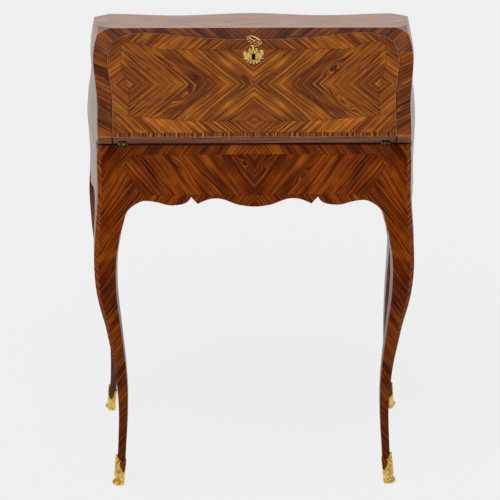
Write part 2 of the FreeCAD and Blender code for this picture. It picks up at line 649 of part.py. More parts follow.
# Side panels, from their shaped lower edge to the underside of the top
side_place_shares = (0, 0.05, 0.10, 0.16, 0.24, 0.34, 0.42, 0.5)
side_drop_shares = (1.32, 1.20, 1.07, 0.975, 0.935, 0.955, 0.985, 1.0)
side_front = sz.stile_depth
side_run = side_rear - side_front
lower = [Vec(0, side_front + side_run * y, sz.bed_height - sz.apron_height * drop)
         for y, drop in zip(side_place_shares, side_drop_shares)]
lower += [Vec(0, side_front + side_rear - p.y, p.z) for p in lower[-2::-1]]
under_side = prism([
    smooth(lower),
    Part.makeLine(lower[-1], Vec(0, side_rear, 0)),
    Part.makeLine(Vec(0, side_rear, 0), Vec(0, side_front, 0)),
    Part.makeLine(Vec(0, side_front, 0), lower[0]),
], Vec(far, 0, 0))
wall = Part.Face(polygon([
    Vec(inner_half(-sz.stile_depth), -sz.stile_depth, 0),
    Vec(far, -sz.stile_depth, 0),
    Vec(far, side_rear, 0),
    Vec(inner_half(side_rear), side_rear, 0),
])).extrude(Vec(0, 0, top_under))
side_panel = behind_slope.common(wall).cut(under_side)
side_panel = side_panel.cut(block(0, far, -far, side_front, 0, sz.bed_height))
side_panel = side_panel.cut(block(0, far, -far, 0, 0, far))
free_piece("side_panel_right", side_panel)
free_piece("side_panel_left", mirrored(side_panel))

# Serpentine back panel between the rear stiles
back_outer = smooth(back_line(0))
back_inner = smooth(back_line(sz.back_thick))
back_ends = [(line[0], line[-1]) for line in (back_line(0), back_line(sz.back_thick))]
back_wire = [back_outer, Part.makeLine(back_ends[0][1], back_ends[1][1]), back_inner,
             Part.makeLine(back_ends[1][0], back_ends[0][0])]
back_panel = prism(back_wire, Vec(0, 0, top_under - (sz.bed_height - sz.apron_height)))
back_panel.translate(Vec(0, 0, sz.bed_height - sz.apron_height))
back_half = back_ends[0][1].x
arch_shares = (0, 0.35, 0.62, 0.80, 0.90, 0.96, 1.0)
arch_drop_shares = (0.90, 0.89, 0.86, 0.90, 0.97, 1.06, 1.14)
arch = [(back_half * x, sz.bed_height - sz.apron_height * drop)
        for x, drop in zip(arch_shares, arch_drop_shares)]
arch_line = [Vec(-x, 0, z) for x, z in arch[::-1]] + [Vec(x, 0, z) for x, z in arch[1:]]
under_back = prism([smooth(arch_line), Part.makeLine(arch_line[-1], Vec(back_half, 0, 0)),
                    Part.makeLine(Vec(back_half, 0, 0), Vec(-back_half, 0, 0)),
                    Part.makeLine(Vec(-back_half, 0, 0), arch_line[0])], Vec(0, 2 * far, 0))
free_piece("back_panel", back_panel.cut(under_back))

# Top board
free_piece("top_board", behind_slope.common(block(-far, far, -far, far, top_under, far + top_height)))

# Opening for the fall and the fall itself, drawn in the plane of the slope
fall_u_shares = (0, 0.15, 0.45, 0.60, 0.77, 0.89, 0.97)
fall_x_shares = (0, 0.03, 0.27, 0.63, 1.0, 0.83, 0.27)
crest_x_shares = (0.91, 0.82, 0.69, 0.54, 0.36, 0.24, 0.15)
crest_u_shares = (0.75, 1.0, 0.90, 0.54, 0.19, 0.07, 0.0)


def opening(grow, start):
    """Edges of the fall's outline at a clearance inside the opening, from a start up the slope."""
    right = [Vec(sz.fall_half + sz.fall_flare * x - grow, sz.fall_length * u, 0)
             for u, x in zip(fall_u_shares, fall_x_shares)]
    right[0].y = start
    crest = [Vec(sz.fall_half * x - grow / 2, sz.fall_length + sz.fall_crest * u - grow, 0)
             for x, u in zip(crest_x_shares, crest_u_shares)]
    right_line = right + crest
    left_line = [Vec(-p.x, p.y, 0) for p in right_line]
    return [
        Part.makeLine(left_line[0], right_line[0]),
        smooth(right_line),
        Part.makeLine(right_line[-1], left_line[-1]),
        smooth(left_line[::-1]),
    ]


opening_cut = prism(opening(0, -sz.overrun), Vec(0, 0, sz.fall_thick + 2 * sz.overrun))
opening_cut.translate(Vec(0, 0, -sz.overrun))
frame = envelope.common(slope_slab).cut(in_slope(opening_cut))
split = sz.fall_length * 0.86
frame_low = in_slope(block(-far, far, -far, split, -far, far))
frame_high = in_slope(block(-far, far, split, far, -far, far))
stile = frame.common(frame_low).common(block(0, far, -far, far, 0, far))
free_piece("slope_stile_right", stile)
free_piece("slope_stile_left", mirrored(stile))
rail = frame.common(frame_high)
# Mortise behind the strike plate, for the bolt
lock_mid = (sz.lock_thick - sz.bolt_thick) / 2
strike_low = sz.fall_length
mortise = block(-sz.bolt_half - sz.bolt_clear, sz.bolt_half + sz.bolt_clear,
                strike_low - sz.overrun, strike_low + sz.bolt_throw + sz.overrun / 2,
                lock_mid - sz.bolt_clear, lock_mid + sz.bolt_thick + sz.bolt_clear)
strike = block(-sz.strike_half, sz.strike_half, strike_low, strike_low + sz.strike_thick,
               lock_mid - sz.strike_thick * 2, lock_mid + sz.bolt_thick + sz.strike_thick * 2)
rail = rail.cut(in_slope(mortise)).cut(in_slope(strike))
free_piece("slope_rail", rail)
free_piece("strike_plate", strike.cut(mortise), slope_place)

# Fall, hung at its square lower edge
fall = prism(opening(sz.fall_gap, sz.hinge_gap), Vec(0, 0, sz.fall_thick))
fall_edge = sz.fall_length - sz.fall_gap
lock_low = fall_edge - sz.lock_height
lock_room = block(-sz.lock_half, sz.lock_half, lock_low, fall_edge + sz.overrun, -sz.overrun, sz.lock_thick)
case_shape = block(-sz.lock_half, sz.lock_half, lock_low, fall_edge, 0, sz.lock_thick)
key_side_share = 0.8
key_hole = Part.makeCylinder(sz.key_radius, sz.fall_thick + 2 * sz.overrun,
                             Vec(0, sz.key_height, -sz.overrun), Vec(0, 0, 1))
key_side = sz.key_radius * key_side_share
key_hole = key_hole.fuse(block(-key_side, key_side, sz.key_height - sz.key_slot, sz.key_height,
                               -sz.overrun, sz.fall_thick + sz.overrun))
leather_top = sz.leather_start + sz.leather_length
leather = block(-sz.leather_half, sz.leather_half, sz.leather_start,
                min(leather_top, lock_low - sz.overrun), 0, sz.leather_thick)
knuckle_room = Part.makeCompound([
    Part.makeCylinder(sz.barrel_radius + sz.barrel_clear, sz.hinge_width + 2 * sz.knuckle_gap,
                      Vec(side * sz.hinge_place - sz.hinge_width / 2 - sz.knuckle_gap, 0, 0), Vec(1, 0, 0))
    for side in (-1, 1)])
fall_leaf_room = Part.makeCompound([
    block(side * sz.hinge_place - sz.hinge_width / 2, side * sz.hinge_place + sz.hinge_width / 2,
          0, sz.barrel_radius + sz.leaf_length, -sz.overrun, sz.leaf_thick) for side in (-1, 1)])
fall = fall.cut(lock_room).cut(leather).cut(knuckle_room).cut(fall_leaf_room)
fall = fall.cut(Part.makeCompound(fall_screws)).cut(key_hole)
lock_screws = []
for side in (-1, 1):
    spot = Vec(side * (sz.lock_half - sz.screw_head_radius * 1.6), lock_low + sz.screw_head_radius * 2, 0)
    reach = screw(spot, Vec(0, 0, 1))
    shank_end = spot + Vec(0, 0, sz.screw_length - sz.overrun / 4)
    longer = Part.makeCylinder(sz.screw_radius, sz.lock_thick, shank_end, Vec(0, 0, 1))
    whole = reach.fuse(longer)
    lock_screws.append(whole.common(block(-far, far, 0, far, 0, (sz.fall_thick + sz.lock_thick) / 2)))
lock_screw_set = Part.makeCompound(lock_screws)
fall = fall.cut(lock_screw_set)
free_piece("fall_panel", fall, slope_place)
free_piece("fall_leather", leather, slope_place)
bolt_low = fall_edge - sz.bolt_length
bolt = block(-sz.bolt_half, sz.bolt_half, bolt_low, fall_edge, lock_mid, lock_mid + sz.bolt_thick)
bolt_room = block(-sz.bolt_half - sz.bolt_clear, sz.bolt_half + sz.bolt_clear,
                  bolt_low - sz.bolt_clear, fall_edge + sz.overrun,
                  lock_mid - sz.bolt_clear, lock_mid + sz.bolt_thick + sz.bolt_clear)
case_shape = case_shape.cut(bolt_room).cut(key_hole).cut(lock_screw_set)
free_piece("lock_case", case_shape, slope_place)
free_piece("lock_screws", lock_screw_set, slope_place)
free_piece("lock_bolt", bolt, slope_place)

# Escutcheon: a shell with a crest that leans to one side, pierced for the key
shell_x_shares = (0, 0.35, 0.66, 0.93, 1.0, 0.80, 0.46, 0.58, 0.94, 0.70, 0.10,
                  -0.45, -0.80, -0.50, -0.46, -0.84, -1.0, -0.90, -0.62, -0.32)
shell_u_shares = (0, 0.03, 0.12, 0.27, 0.42, 0.54, 0.63, 0.74, 0.85, 0.96, 1.0,
                  0.96, 0.86, 0.73, 0.62, 0.53, 0.40, 0.25, 0.11, 0.03)
shell_low = sz.key_height - sz.escutcheon_drop
shell_points = [Vec(sz.escutcheon_half * x, shell_low + sz.escutcheon_height * u, sz.fall_thick)
                for x, u in zip(shell_x_shares, shell_u_shares)]
rim = Part.BSplineCurve()
rim.interpolate(shell_points, PeriodicFlag=True)
shell = Part.Face(Part.Wire([rim.toShape()])).extrude(Vec(0, 0, sz.escutcheon_thick))
# Its crest reaches over the joint and stays just clear of the rail
crest_room = block(-far, far, fall_edge, far, 0, sz.fall_thick + sz.hinge_gap)
free_piece("escutcheon", shell.cut(key_hole).cut(crest_room), slope_place)

# Hinges: two leaves on one pin, the bed leaf with the two outer knuckles
knuckle = (sz.hinge_width - 2 * sz.knuckle_gap) / 3


def leaf(side, inner, place):
    """One hinge leaf lying along its plate's top face, its pin on the local X axis."""
    start = side * sz.hinge_place - sz.hinge_width / 2
    spans = ((start + knuckle + sz.knuckle_gap, knuckle),)
    if not inner:
        spans = ((start, knuckle), (start + 2 * (knuckle + sz.knuckle_gap), knuckle))
    sign = 1 if inner else -1
    z0, z1 = sorted((0, sign * sz.leaf_thick))
    plate = block(start, start + sz.hinge_width, sz.barrel_radius + sz.barrel_clear / 2,
                  sz.barrel_radius + sz.leaf_length, z0, z1)
    bore = sz.pin_radius + (sz.pin_clear if inner else 0)
    for x, width in spans:
        plate = plate.fuse(block(x, x + width, 0, sz.barrel_radius + sz.leaf_length / 2, z0, z1))
        plate = plate.fuse(Part.makeCylinder(sz.barrel_radius, width, Vec(x, 0, 0), Vec(1, 0, 0)))
    for x, width in spans:
        plate = plate.cut(Part.makeCylinder(bore, width + 2 * sz.overrun, Vec(x - sz.overrun, 0, 0),
                                            Vec(1, 0, 0)))
    plate = plate.removeSplitter()
    plate.Placement = place.multiply(plate.Placement)
    return plate


bed_place = FreeCAD.Placement(hinge_line, FreeCAD.Rotation())
bed_leaves = Part.makeCompound([leaf(side, False, bed_place).cut(bed_screw_set) for side in (-1, 1)])
fall_leaves = Part.makeCompound([leaf(side, True, slope_place).cut(fall_screw_set) for side in (-1, 1)])
free_piece("hinge_bed_leaves", bed_leaves)
free_piece("hinge_fall_leaves", fall_leaves)
free_piece("hinge_pins", Part.makeCompound([
    Part.makeCylinder(sz.pin_radius, sz.hinge_width,
                      hinge_line + Vec(side * sz.hinge_place - sz.hinge_width / 2, 0, 0), Vec(1, 0, 0))
    for side in (-1, 1)]))
free_piece("hinge_screws_bed", bed_screw_set)
free_piece("hinge_screws_fall", fall_screw_set)

# Fall stops, glued to the side panels just behind the fall
stop = in_slope(block(0, far, sz.stop_thick * 1.5, fall_edge - sz.stop_thick,
                      -sz.stop_thick - sz.hinge_gap, -sz.hinge_gap))
beside_panel = Part.Face(polygon([
    Vec(inner_half(0) - sz.stop_width, 0, 0), Vec(inner_half(0), 0, 0),
    Vec(inner_half(side_rear), side_rear, 0),
    Vec(inner_half(side_rear) - sz.stop_width, side_rear, 0)])).extrude(Vec(0, 0, far + top_under))
stop = stop.common(beside_panel)
stop = stop.cut(block(-far, far, -far, far, top_under, far + top_under))
free_piece("fall_stops", Part.makeCompound([stop, mirrored(stop)]))

# Writing bed: a board on each side of the well, a strip in front and a lower board behind
bed_low = sz.bed_height - sz.bed_thick
well_back = sz.well_front + sz.well_length
well_outer = sz.well_half + sz.well_board
bed_rear = sz.back_depth - sz.back_hollow - sz.back_thick - sz.back_gap
tongue_low = sz.bed_height - sz.slide_gap - sz.cover_thick
bed_plan = Part.Face(polygon([
    Vec(well_outer, sz.apron_thick, 0), Vec(stile_inner, sz.apron_thick, 0),
    Vec(stile_inner, sz.stile_depth, 0), Vec(inner_half(sz.stile_depth), sz.stile_depth, 0),
    Vec(inner_half(side_rear), side_rear, 0), Vec(rear_inner, side_rear, 0),
    Vec(rear_inner, bed_rear, 0), Vec(well_outer, bed_rear, 0)]))
bed_board = bed_plan.extrude(Vec(0, 0, sz.bed_thick))
bed_board.translate(Vec(0, 0, bed_low))
groove_back = well_back + sz.cover_travel + sz.well_board
groove = block(0, well_outer + sz.cover_tongue + sz.slide_gap, sz.well_front, groove_back,
               tongue_low - sz.slide_gap, tongue_low + sz.tongue_thick + sz.slide_gap)
bed_board = bed_board.cut(groove).cut(leaves)
free_piece("bed_right", bed_board)
free_piece("bed_left", mirrored(bed_board))


def bind(obj, **expressions):
    """Tie properties to the sheet."""
    for prop, text in expressions.items():
        obj.setExpression(prop.replace("__", "."), text)


def board(label, x, y, z, length, width, height):
    """Rectangular board: its low left front corner, then its sizes, all tied to the sheet."""
    box = doc.addObject("Part::Box", label)
    bind(box, Length=length, Width=width, Height=height,
         Placement__Base__x=x, Placement__Base__y=y + " - Sizes.middle", Placement__Base__z=z)
    return box


def pair(label, piece):
    """The same piece left and right, mirrored about the centre line."""
    twin = doc.addObject("Part::Mirroring", label + "_twin")
    twin.Source = piece
    twin.Base = (0, 0, 0)
    twin.Normal = (1, 0, 0)
    both = doc.addObject("Part::Compound", label)
    both.Links = [piece, twin]
    return keep(both, label)


OUT = "(Sizes.well_half + Sizes.well_board)"
BACK = "(Sizes.well_front + Sizes.well_length)"
BED_REAR = "(Sizes.back_inside - Sizes.back_gap)"
BED_LOW = "(Sizes.bed_height - Sizes.bed_thick)"
COVER_LOW = "(Sizes.bed_height - Sizes.slide_gap - Sizes.cover_thick)"
REST_TOP = "(Sizes.bed_height - 2 * Sizes.slide_gap - Sizes.cover_thick)"
REST_LOW = "(Sizes.bed_height - 2 * Sizes.slide_gap - Sizes.cover_thick - Sizes.bed_thick)"
WELL_LOW = "(Sizes.bed_height - Sizes.bed_thick - Sizes.well_depth)"
keep(board("bed_front", "-" + OUT, "Sizes.apron_thick", BED_LOW, "2 * " + OUT,
           "Sizes.well_front - Sizes.apron_thick", "Sizes.bed_thick"), "bed_front")
keep(board("bed_rear", "-" + OUT, BACK, REST_LOW, "2 * " + OUT, BED_REAR + " - " + BACK,
           "Sizes.bed_thick"), "bed_rear")
# Well under the bed: four sides and a bottom
keep(board("well_front_board", "-Sizes.well_half", "Sizes.well_front - Sizes.well_board", WELL_LOW,
           "2 * Sizes.well_half", "Sizes.well_board", "Sizes.well_depth"), "well_front_board")
keep(board("well_back_board", "-Sizes.well_half", BACK, WELL_LOW, "2 * Sizes.well_half",
           "Sizes.well_board", REST_LOW + " - " + WELL_LOW), "well_back_board")
pair("well_side_boards", board("well_side", "Sizes.well_half", "Sizes.well_front - Sizes.well_board",
                               WELL_LOW, "Sizes.well_board", "Sizes.well_length + 2 * Sizes.well_board",
                               REST_LOW + " - " + WELL_LOW))
keep(board("well_bottom", "-" + OUT, "Sizes.well_front - Sizes.well_board",
           WELL_LOW + " - Sizes.well_bottom_thick", "2 * " + OUT,
           "Sizes.well_length + 2 * Sizes.well_board", "Sizes.well_bottom_thick"), "well_bottom")


def plane_of(body, role):
    return [item for item in body.Origin.OriginFeatures if item.Role == role][0]


def sketch_on(body, label, role):
    sketch = body.newObject("Sketcher::SketchObject", label)
    sketch.AttachmentSupport = [(plane_of(body, role), "")]
    sketch.MapMode = "FlatFace"
    return sketch


def rectangle(sketch, left, low, width, height):
    """Rectangle whose low left corner stands right and up of the sketch's origin."""
    first = sketch.GeometryCount
    corners = (Vec(1, 1, 0), Vec(9, 1, 0), Vec(9, 9, 0), Vec(1, 9, 0))
    for a, b in zip(corners, corners[1:] + corners[:1]):
        sketch.addGeometry(Part.LineSegment(a, b), False)
    for n in range(4):
        sketch.addConstraint(Sketcher.Constraint("Coincident", first + n, 2, first + (n + 1) % 4, 1))
    for n, kind in ((0, "Horizontal"), (1, "Vertical"), (2, "Horizontal"), (3, "Vertical")):
        if n or left is not None:
            sketch.addConstraint(Sketcher.Constraint(kind, first + n))
    for text, args in ((width, ("DistanceX", first, 1, first, 2, 8)),
                       (height, ("DistanceY", first + 1, 1, first + 1, 2, 8))):
        index = sketch.addConstraint(Sketcher.Constraint(*args))
        sketch.setExpression("Constraints[%d]" % index, text)
    if left is None:
        sketch.addConstraint(Sketcher.Constraint("Symmetric", first, 1, first, 2, -2))
    elif left == "0":
        sketch.addConstraint(Sketcher.Constraint("PointOnObject", first, 1, -2))
    else:
        index = sketch.addConstraint(Sketcher.Constraint("DistanceX", -1, 1, first, 1, 1))
        sketch.setExpression("Constraints[%d]" % index, left)
    if low == "0":
        sketch.addConstraint(Sketcher.Constraint("PointOnObject", first, 1, -1))
    else:
        index = sketch.addConstraint(Sketcher.Constraint("DistanceY", -1, 1, first, 1, 1))
        sketch.setExpression("Constraints[%d]" % index, low)


def circle(sketch, up, radius):
    """Circle on the sketch's vertical axis."""
    sketch.addGeometry(Part.Circle(Vec(0, 5, 0), Vec(0, 0, 1), 2), False)
    n = sketch.GeometryCount - 1
    sketch.addConstraint(Sketcher.Constraint("PointOnObject", n, 3, -2))
    index = sketch.addConstraint(Sketcher.Constraint("DistanceY", -1, 1, n, 3, 5))
    sketch.setExpression("Constraints[%d]" % index, up)
    index = sketch.addConstraint(Sketcher.Constraint("Radius", n, 2))
    sketch.setExpression("Constraints[%d]" % index, radius)


def pad(body, label, sketch, length, reverse=False):
    feature = body.newObject("PartDesign::Pad", label)
    feature.Profile = sketch
    feature.Reversed = reverse
    feature.setExpression("Length", length)
    body.Tip = feature
    doc.recompute()
    return feature


def pocket(body, label, sketch, length, reverse=False):
    before = body.Shape.Volume
    feature = body.newObject("PartDesign::Pocket", label)
    feature.Profile = sketch
    feature.Reversed = reverse
    feature.setExpression("Length", length)
    body.Tip = feature
    doc.recompute()
    if body.Shape.Volume >= before:
        raise ValueError(label + " cuts nothing")
    return feature


# Sliding cover of the well: a panel with a tongue on each side and a finger hollow
cover = doc.addObject("PartDesign::Body", "well_cover")
plan = sketch_on(cover, "cover_plan", "XY_Plane")
rectangle(plan, None, "0", "2 * (" + OUT + " - Sizes.slide_gap)", "Sizes.well_length - 2 * Sizes.run_gap")
pad(cover, "cover_board", plan, "Sizes.cover_thick")
plan = sketch_on(cover, "tongue_plan", "XY_Plane")
rectangle(plan, None, "0", "2 * (" + OUT + " + Sizes.cover_tongue - Sizes.slide_gap)",
          "Sizes.well_length - 2 * Sizes.run_gap")
pad(cover, "cover_tongues", plan, "Sizes.tongue_thick")
plan = sketch_on(cover, "grip_plan", "XY_Plane")
circle(plan, "2 * Sizes.grip_radius", "Sizes.grip_radius")
plan.setExpression("AttachmentOffset.Base.z", "Sizes.cover_thick")
pocket(cover, "cover_grip", plan, "Sizes.grip_depth")
bind(cover, Placement__Base__y="Sizes.well_front + Sizes.run_gap - Sizes.middle",
     Placement__Base__z=COVER_LOW)
keep(cover, "well_cover")

# Fitted interior: floor, cheeks, shelf, partitions, uprights, back and facing strips
TOP = "(Sizes.bed_height + Sizes.fall_thick * cos(Sizes.slope_angle * 1 deg)"
TOP += " + Sizes.slope_length * sin(Sizes.slope_angle * 1 deg) - Sizes.top_thick)"
FLOOR = "(Sizes.bed_height + Sizes.unit_board)"
SHELF = "(Sizes.bed_height + Sizes.unit_board + Sizes.drawer_space)"
OVER = "(Sizes.bed_height + 2 * Sizes.unit_board + Sizes.drawer_space)"
WALL = "(Sizes.front_half - Sizes.side_thick + Sizes.side_splay * Sizes.unit_front)"
DEPTH = "Sizes.unit_depth"
keep(board("unit_floor", "-" + WALL, "Sizes.unit_front", "Sizes.bed_height", "2 * " + WALL, DEPTH,
           "Sizes.unit_board"), "unit_floor")
keep(board("unit_shelf", "-Sizes.unit_half", "Sizes.unit_front", SHELF, "2 * Sizes.unit_half", DEPTH,
           "Sizes.unit_board"), "unit_shelf")
keep(board("unit_back", "-Sizes.unit_half - Sizes.unit_board", "Sizes.unit_front + Sizes.unit_depth",
           "Sizes.bed_height", "2 * (Sizes.unit_half + Sizes.unit_board)", "Sizes.unit_back_thick",
           TOP + " - Sizes.bed_height"), "unit_back")
pair("unit_cheeks", board("unit_cheek", "Sizes.unit_half", "Sizes.unit_front + Sizes.pilaster_thick", FLOOR,
                          "Sizes.unit_board", DEPTH + " - Sizes.pilaster_thick", TOP + " - " + FLOOR))
pair("unit_pilasters", board("unit_pilaster", "Sizes.unit_half", "Sizes.unit_front", FLOOR,
                             WALL + " - Sizes.unit_half", "Sizes.pilaster_thick", TOP + " - " + FLOOR))
pair("unit_partitions", board("unit_partition", "Sizes.niche_half", "Sizes.unit_front", FLOOR,
                              "Sizes.unit_board", DEPTH, "Sizes.drawer_space"))
pair("unit_uprights", board("unit_upright", "Sizes.niche_half", "Sizes.unit_front", OVER,
                            "Sizes.unit_board", DEPTH, TOP + " - " + OVER))

# Two small drawers under the shelf
SPACE = "(Sizes.unit_half - Sizes.niche_half - Sizes.unit_board - 2 * Sizes.slide_gap)"
NEAR = "(Sizes.niche_half + Sizes.unit_board + Sizes.slide_gap)"
RUN = "(Sizes.bed_height + Sizes.unit_board + Sizes.run_gap)"
HIGH = "(Sizes.drawer_space - Sizes.run_gap - Sizes.slide_gap)"
BOX_DEPTH = "(Sizes.unit_depth - Sizes.slide_gap)"
INNER = ("(Sizes.unit_half - Sizes.niche_half - Sizes.unit_board - 2 * Sizes.slide_gap"
         " - 2 * Sizes.drawer_side)")
for hand, start in (("right", NEAR), ("left", "-" + NEAR + " - " + SPACE)):
    front = doc.addObject("PartDesign::Body", "drawer_%s_front" % hand)
    face = sketch_on(front, "front_face_" + hand, "XZ_Plane")
    rectangle(face, "0", "0", SPACE, HIGH)
    pad(front, "front_board_" + hand, face, "Sizes.drawer_front_thick", reverse=True)
    hole = sketch_on(front, "knob_hole_" + hand, "XZ_Plane")
    hole.addGeometry(Part.Circle(Vec(5, 5, 0), Vec(0, 0, 1), 2), False)
    for text, args in ((SPACE + " / 2", ("DistanceX", -1, 1, 0, 3, 5)),
                       (HIGH + " / 2", ("DistanceY", -1, 1, 0, 3, 5)),
                       ("Sizes.knob_radius / 2.5", ("Radius", 0, 2))):
        index = hole.addConstraint(Sketcher.Constraint(*args))
        hole.setExpression("Constraints[%d]" % index, text)
    pocket(front, "knob_bore_" + hand, hole, "Sizes.drawer_front_thick")
    bind(front, Placement__Base__x=start, Placement__Base__y="Sizes.unit_front - Sizes.middle",
         Placement__Base__z=RUN)
    keep(front, "drawer_%s_front" % hand)
    box_front = "Sizes.unit_front + Sizes.drawer_front_thick"
    near = board("side_near_" + hand, start, box_front, RUN, "Sizes.drawer_side",
                 BOX_DEPTH + " - Sizes.drawer_front_thick", HIGH)
    off = board("side_off_" + hand, start + " + " + SPACE + " - Sizes.drawer_side", box_front, RUN,
                "Sizes.drawer_side", BOX_DEPTH + " - Sizes.drawer_front_thick", HIGH)
    sides = doc.addObject("Part::Compound", "drawer_%s_sides" % hand)
    sides.Links = [near, off]
    keep(sides, "drawer_%s_sides" % hand)
    inner = start + " + Sizes.drawer_side"
    keep(board("drawer_%s_back" % hand, inner, "Sizes.unit_front + " + BOX_DEPTH + " - Sizes.drawer_side",
               RUN, INNER, "Sizes.drawer_side", HIGH), "drawer_%s_back" % hand)
    keep(board("drawer_%s_bottom" % hand, inner, box_front, RUN, INNER,
               BOX_DEPTH + " - Sizes.drawer_front_thick - Sizes.drawer_side", "Sizes.drawer_bottom"),
         "drawer_%s_bottom" % hand)
    knob = doc.addObject("PartDesign::Body", "drawer_%s_knob" % hand)
    half = sketch_on(knob, "knob_half_" + hand, "YZ_Plane")
    outline = [(0, 0), (0, 0.4), (0.18, 0.5), (0.45, 0.32),
               (0.62, 0.75), (0.82, 1.0), (1.0, 0.62), (1.0, 0.0)]
    stem = [(-0.7, 0), (-0.7, 0.4)]
    points = stem + outline[1:]
    lines = len(points)
    for a, b in zip(points, points[1:] + points[:1]):
        half.addGeometry(Part.LineSegment(Vec(-a[0] * 10, a[1] * 5, 0), Vec(-b[0] * 10, b[1] * 5, 0)), False)
    for n, (out, up) in enumerate(points):
        half.addConstraint(Sketcher.Constraint("Coincident", n, 2, (n + 1) % lines, 1))
        reach = "Sizes.knob_length * %s" % abs(out) if out > 0 else "Sizes.drawer_front_thick * %s" % abs(out)
        if out > 0:
            index = half.addConstraint(Sketcher.Constraint("DistanceX", n, 1, -1, 1, 5))
        elif out < 0:
            index = half.addConstraint(Sketcher.Constraint("DistanceX", -1, 1, n, 1, 5))
        if out:
            half.setExpression("Constraints[%d]" % index, reach)
        else:
            half.addConstraint(Sketcher.Constraint("PointOnObject", n, 1, -2))
        if up:
            index = half.addConstraint(Sketcher.Constraint("DistanceY", -1, 1, n, 1, 5))
            half.setExpression("Constraints[%d]" % index, "Sizes.knob_radius * %s" % up)
        else:
            half.addConstraint(Sketcher.Constraint("PointOnObject", n, 1, -1))
    turned = knob.newObject("PartDesign::Revolution", "knob_turned_" + hand)
    turned.Profile = half
    turned.ReferenceAxis = (half, ["H_Axis"])
    turned.Angle = 360
    knob.Tip = turned
    bind(knob, Placement__Base__x=start + " + " + SPACE + " / 2",
         Placement__Base__y="Sizes.unit_front - Sizes.middle", Placement__Base__z=RUN + " + " + HIGH + " / 2")
    keep(knob, "drawer_%s_knob" % hand)

doc.recompute()
for obj in doc.Objects:
    if "Invalid" in obj.State or "Error" in obj.State:
        raise ValueError(obj.Label + " did not build")
for obj in parts:
    if obj.Shape.isNull() or not obj.Shape.isValid():
        raise ValueError(obj.Label + " is not a sound solid")
for obj in parts:
    obj.Shape.exportStep("parts/" + obj.Label + ".step")
    box = obj.Shape.BoundBox
    print("%-22s solids %d volume %9.1f  x %7.1f %7.1f  y %7.1f %7.1f  z %7.1f %7.1f" % (
        obj.Label, len(obj.Shape.Solids), obj.Shape.Volume, box.XMin, box.XMax, box.YMin, box.YMax,
        box.ZMin, box.ZMax))
print(len(parts), "pieces")
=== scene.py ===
import json
import math

import bmesh
import bpy
from mathutils import Matrix, Vector
from mathutils.bvhtree import BVHTree

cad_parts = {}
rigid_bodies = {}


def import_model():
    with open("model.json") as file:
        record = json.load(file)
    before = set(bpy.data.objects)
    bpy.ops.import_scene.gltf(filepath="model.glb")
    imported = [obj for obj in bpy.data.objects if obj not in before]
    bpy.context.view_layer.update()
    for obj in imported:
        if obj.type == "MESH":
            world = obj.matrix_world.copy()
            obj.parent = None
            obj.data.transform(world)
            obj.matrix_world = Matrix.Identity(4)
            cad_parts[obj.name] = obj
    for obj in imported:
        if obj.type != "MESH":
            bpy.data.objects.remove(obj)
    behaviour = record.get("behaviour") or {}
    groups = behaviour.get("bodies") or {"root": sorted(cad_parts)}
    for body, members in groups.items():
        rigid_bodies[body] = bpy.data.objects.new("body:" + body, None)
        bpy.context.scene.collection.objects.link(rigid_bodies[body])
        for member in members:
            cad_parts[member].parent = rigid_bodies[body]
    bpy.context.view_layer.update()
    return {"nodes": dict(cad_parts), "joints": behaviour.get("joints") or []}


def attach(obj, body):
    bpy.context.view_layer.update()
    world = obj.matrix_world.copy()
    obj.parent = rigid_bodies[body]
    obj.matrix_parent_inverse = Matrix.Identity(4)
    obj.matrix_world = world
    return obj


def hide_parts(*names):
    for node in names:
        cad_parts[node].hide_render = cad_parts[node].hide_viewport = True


# The objects that Blender starts with make way for the desk
for start_object in list(bpy.data.objects):
    bpy.data.objects.remove(start_object)
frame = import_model()
nodes = frame["nodes"]

# Legs, apron, sides and back: oak faced with kingwood veneer.
# The veneer is sliced slantwise and laid in mirrored leaves, so that its dark
# stripes meet in chevrons and lozenges, and it is French polished.
MM = 0.001
# From the lightest wood to the dark lines
CASE_KINGWOOD = ("#9f4f0b", "#763206", "#5a2004", "#421402", "#1d0701")


def linear(colour):
    """A colour written in sRGB hex, as linear values."""
    parts = [int(colour[i:i + 2], 16) / 255 for i in (1, 3, 5)]
    return [p / 12.92 if p <= 0.04045 else ((p + 0.055) / 1.055) ** 2.4 for p in parts] + [1.0]


def add(material, kind, sockets, stops=(), **settings):
    """One node in a material: what its sockets take, by place or name, its settings, and the
    colours of a scale where it is one."""
    node = material.node_tree.nodes.new("ShaderNode" + kind)
    for name, value in settings.items():
        setattr(node, name, value)
    for place, colour in stops:
        node.color_ramp.elements.new(place).color = linear(colour)
    if stops:
        node.color_ramp.elements.remove(node.color_ramp.elements[0])
        node.color_ramp.elements.remove(node.color_ramp.elements[-1])
    for socket, value in sockets.items():
        if isinstance(value, bpy.types.Node):
            value = next(output for output in value.outputs if output.enabled)
        if isinstance(value, bpy.types.NodeSocket):
            material.node_tree.links.new(value, node.inputs[socket])
        else:
            node.inputs[socket].default_value = value
    return node


def in_millimetres(material):
    """The place on the piece, in millimetres."""
    place = add(material, "TexCoord", {}).outputs["Object"]
    return add(material, "VectorMath", {0: place, "Scale": 1 / MM}, operation="SCALE")


def facing_of(material):
    """The way the surface faces."""
    return add(material, "TexCoord", {}).outputs["Normal"]


def apart(material, value, other):
    """How far apart two values are."""
    off = add(material, "Math", {0: value, 1: other}, operation="SUBTRACT")
    return add(material, "Math", {0: off}, operation="ABSOLUTE")


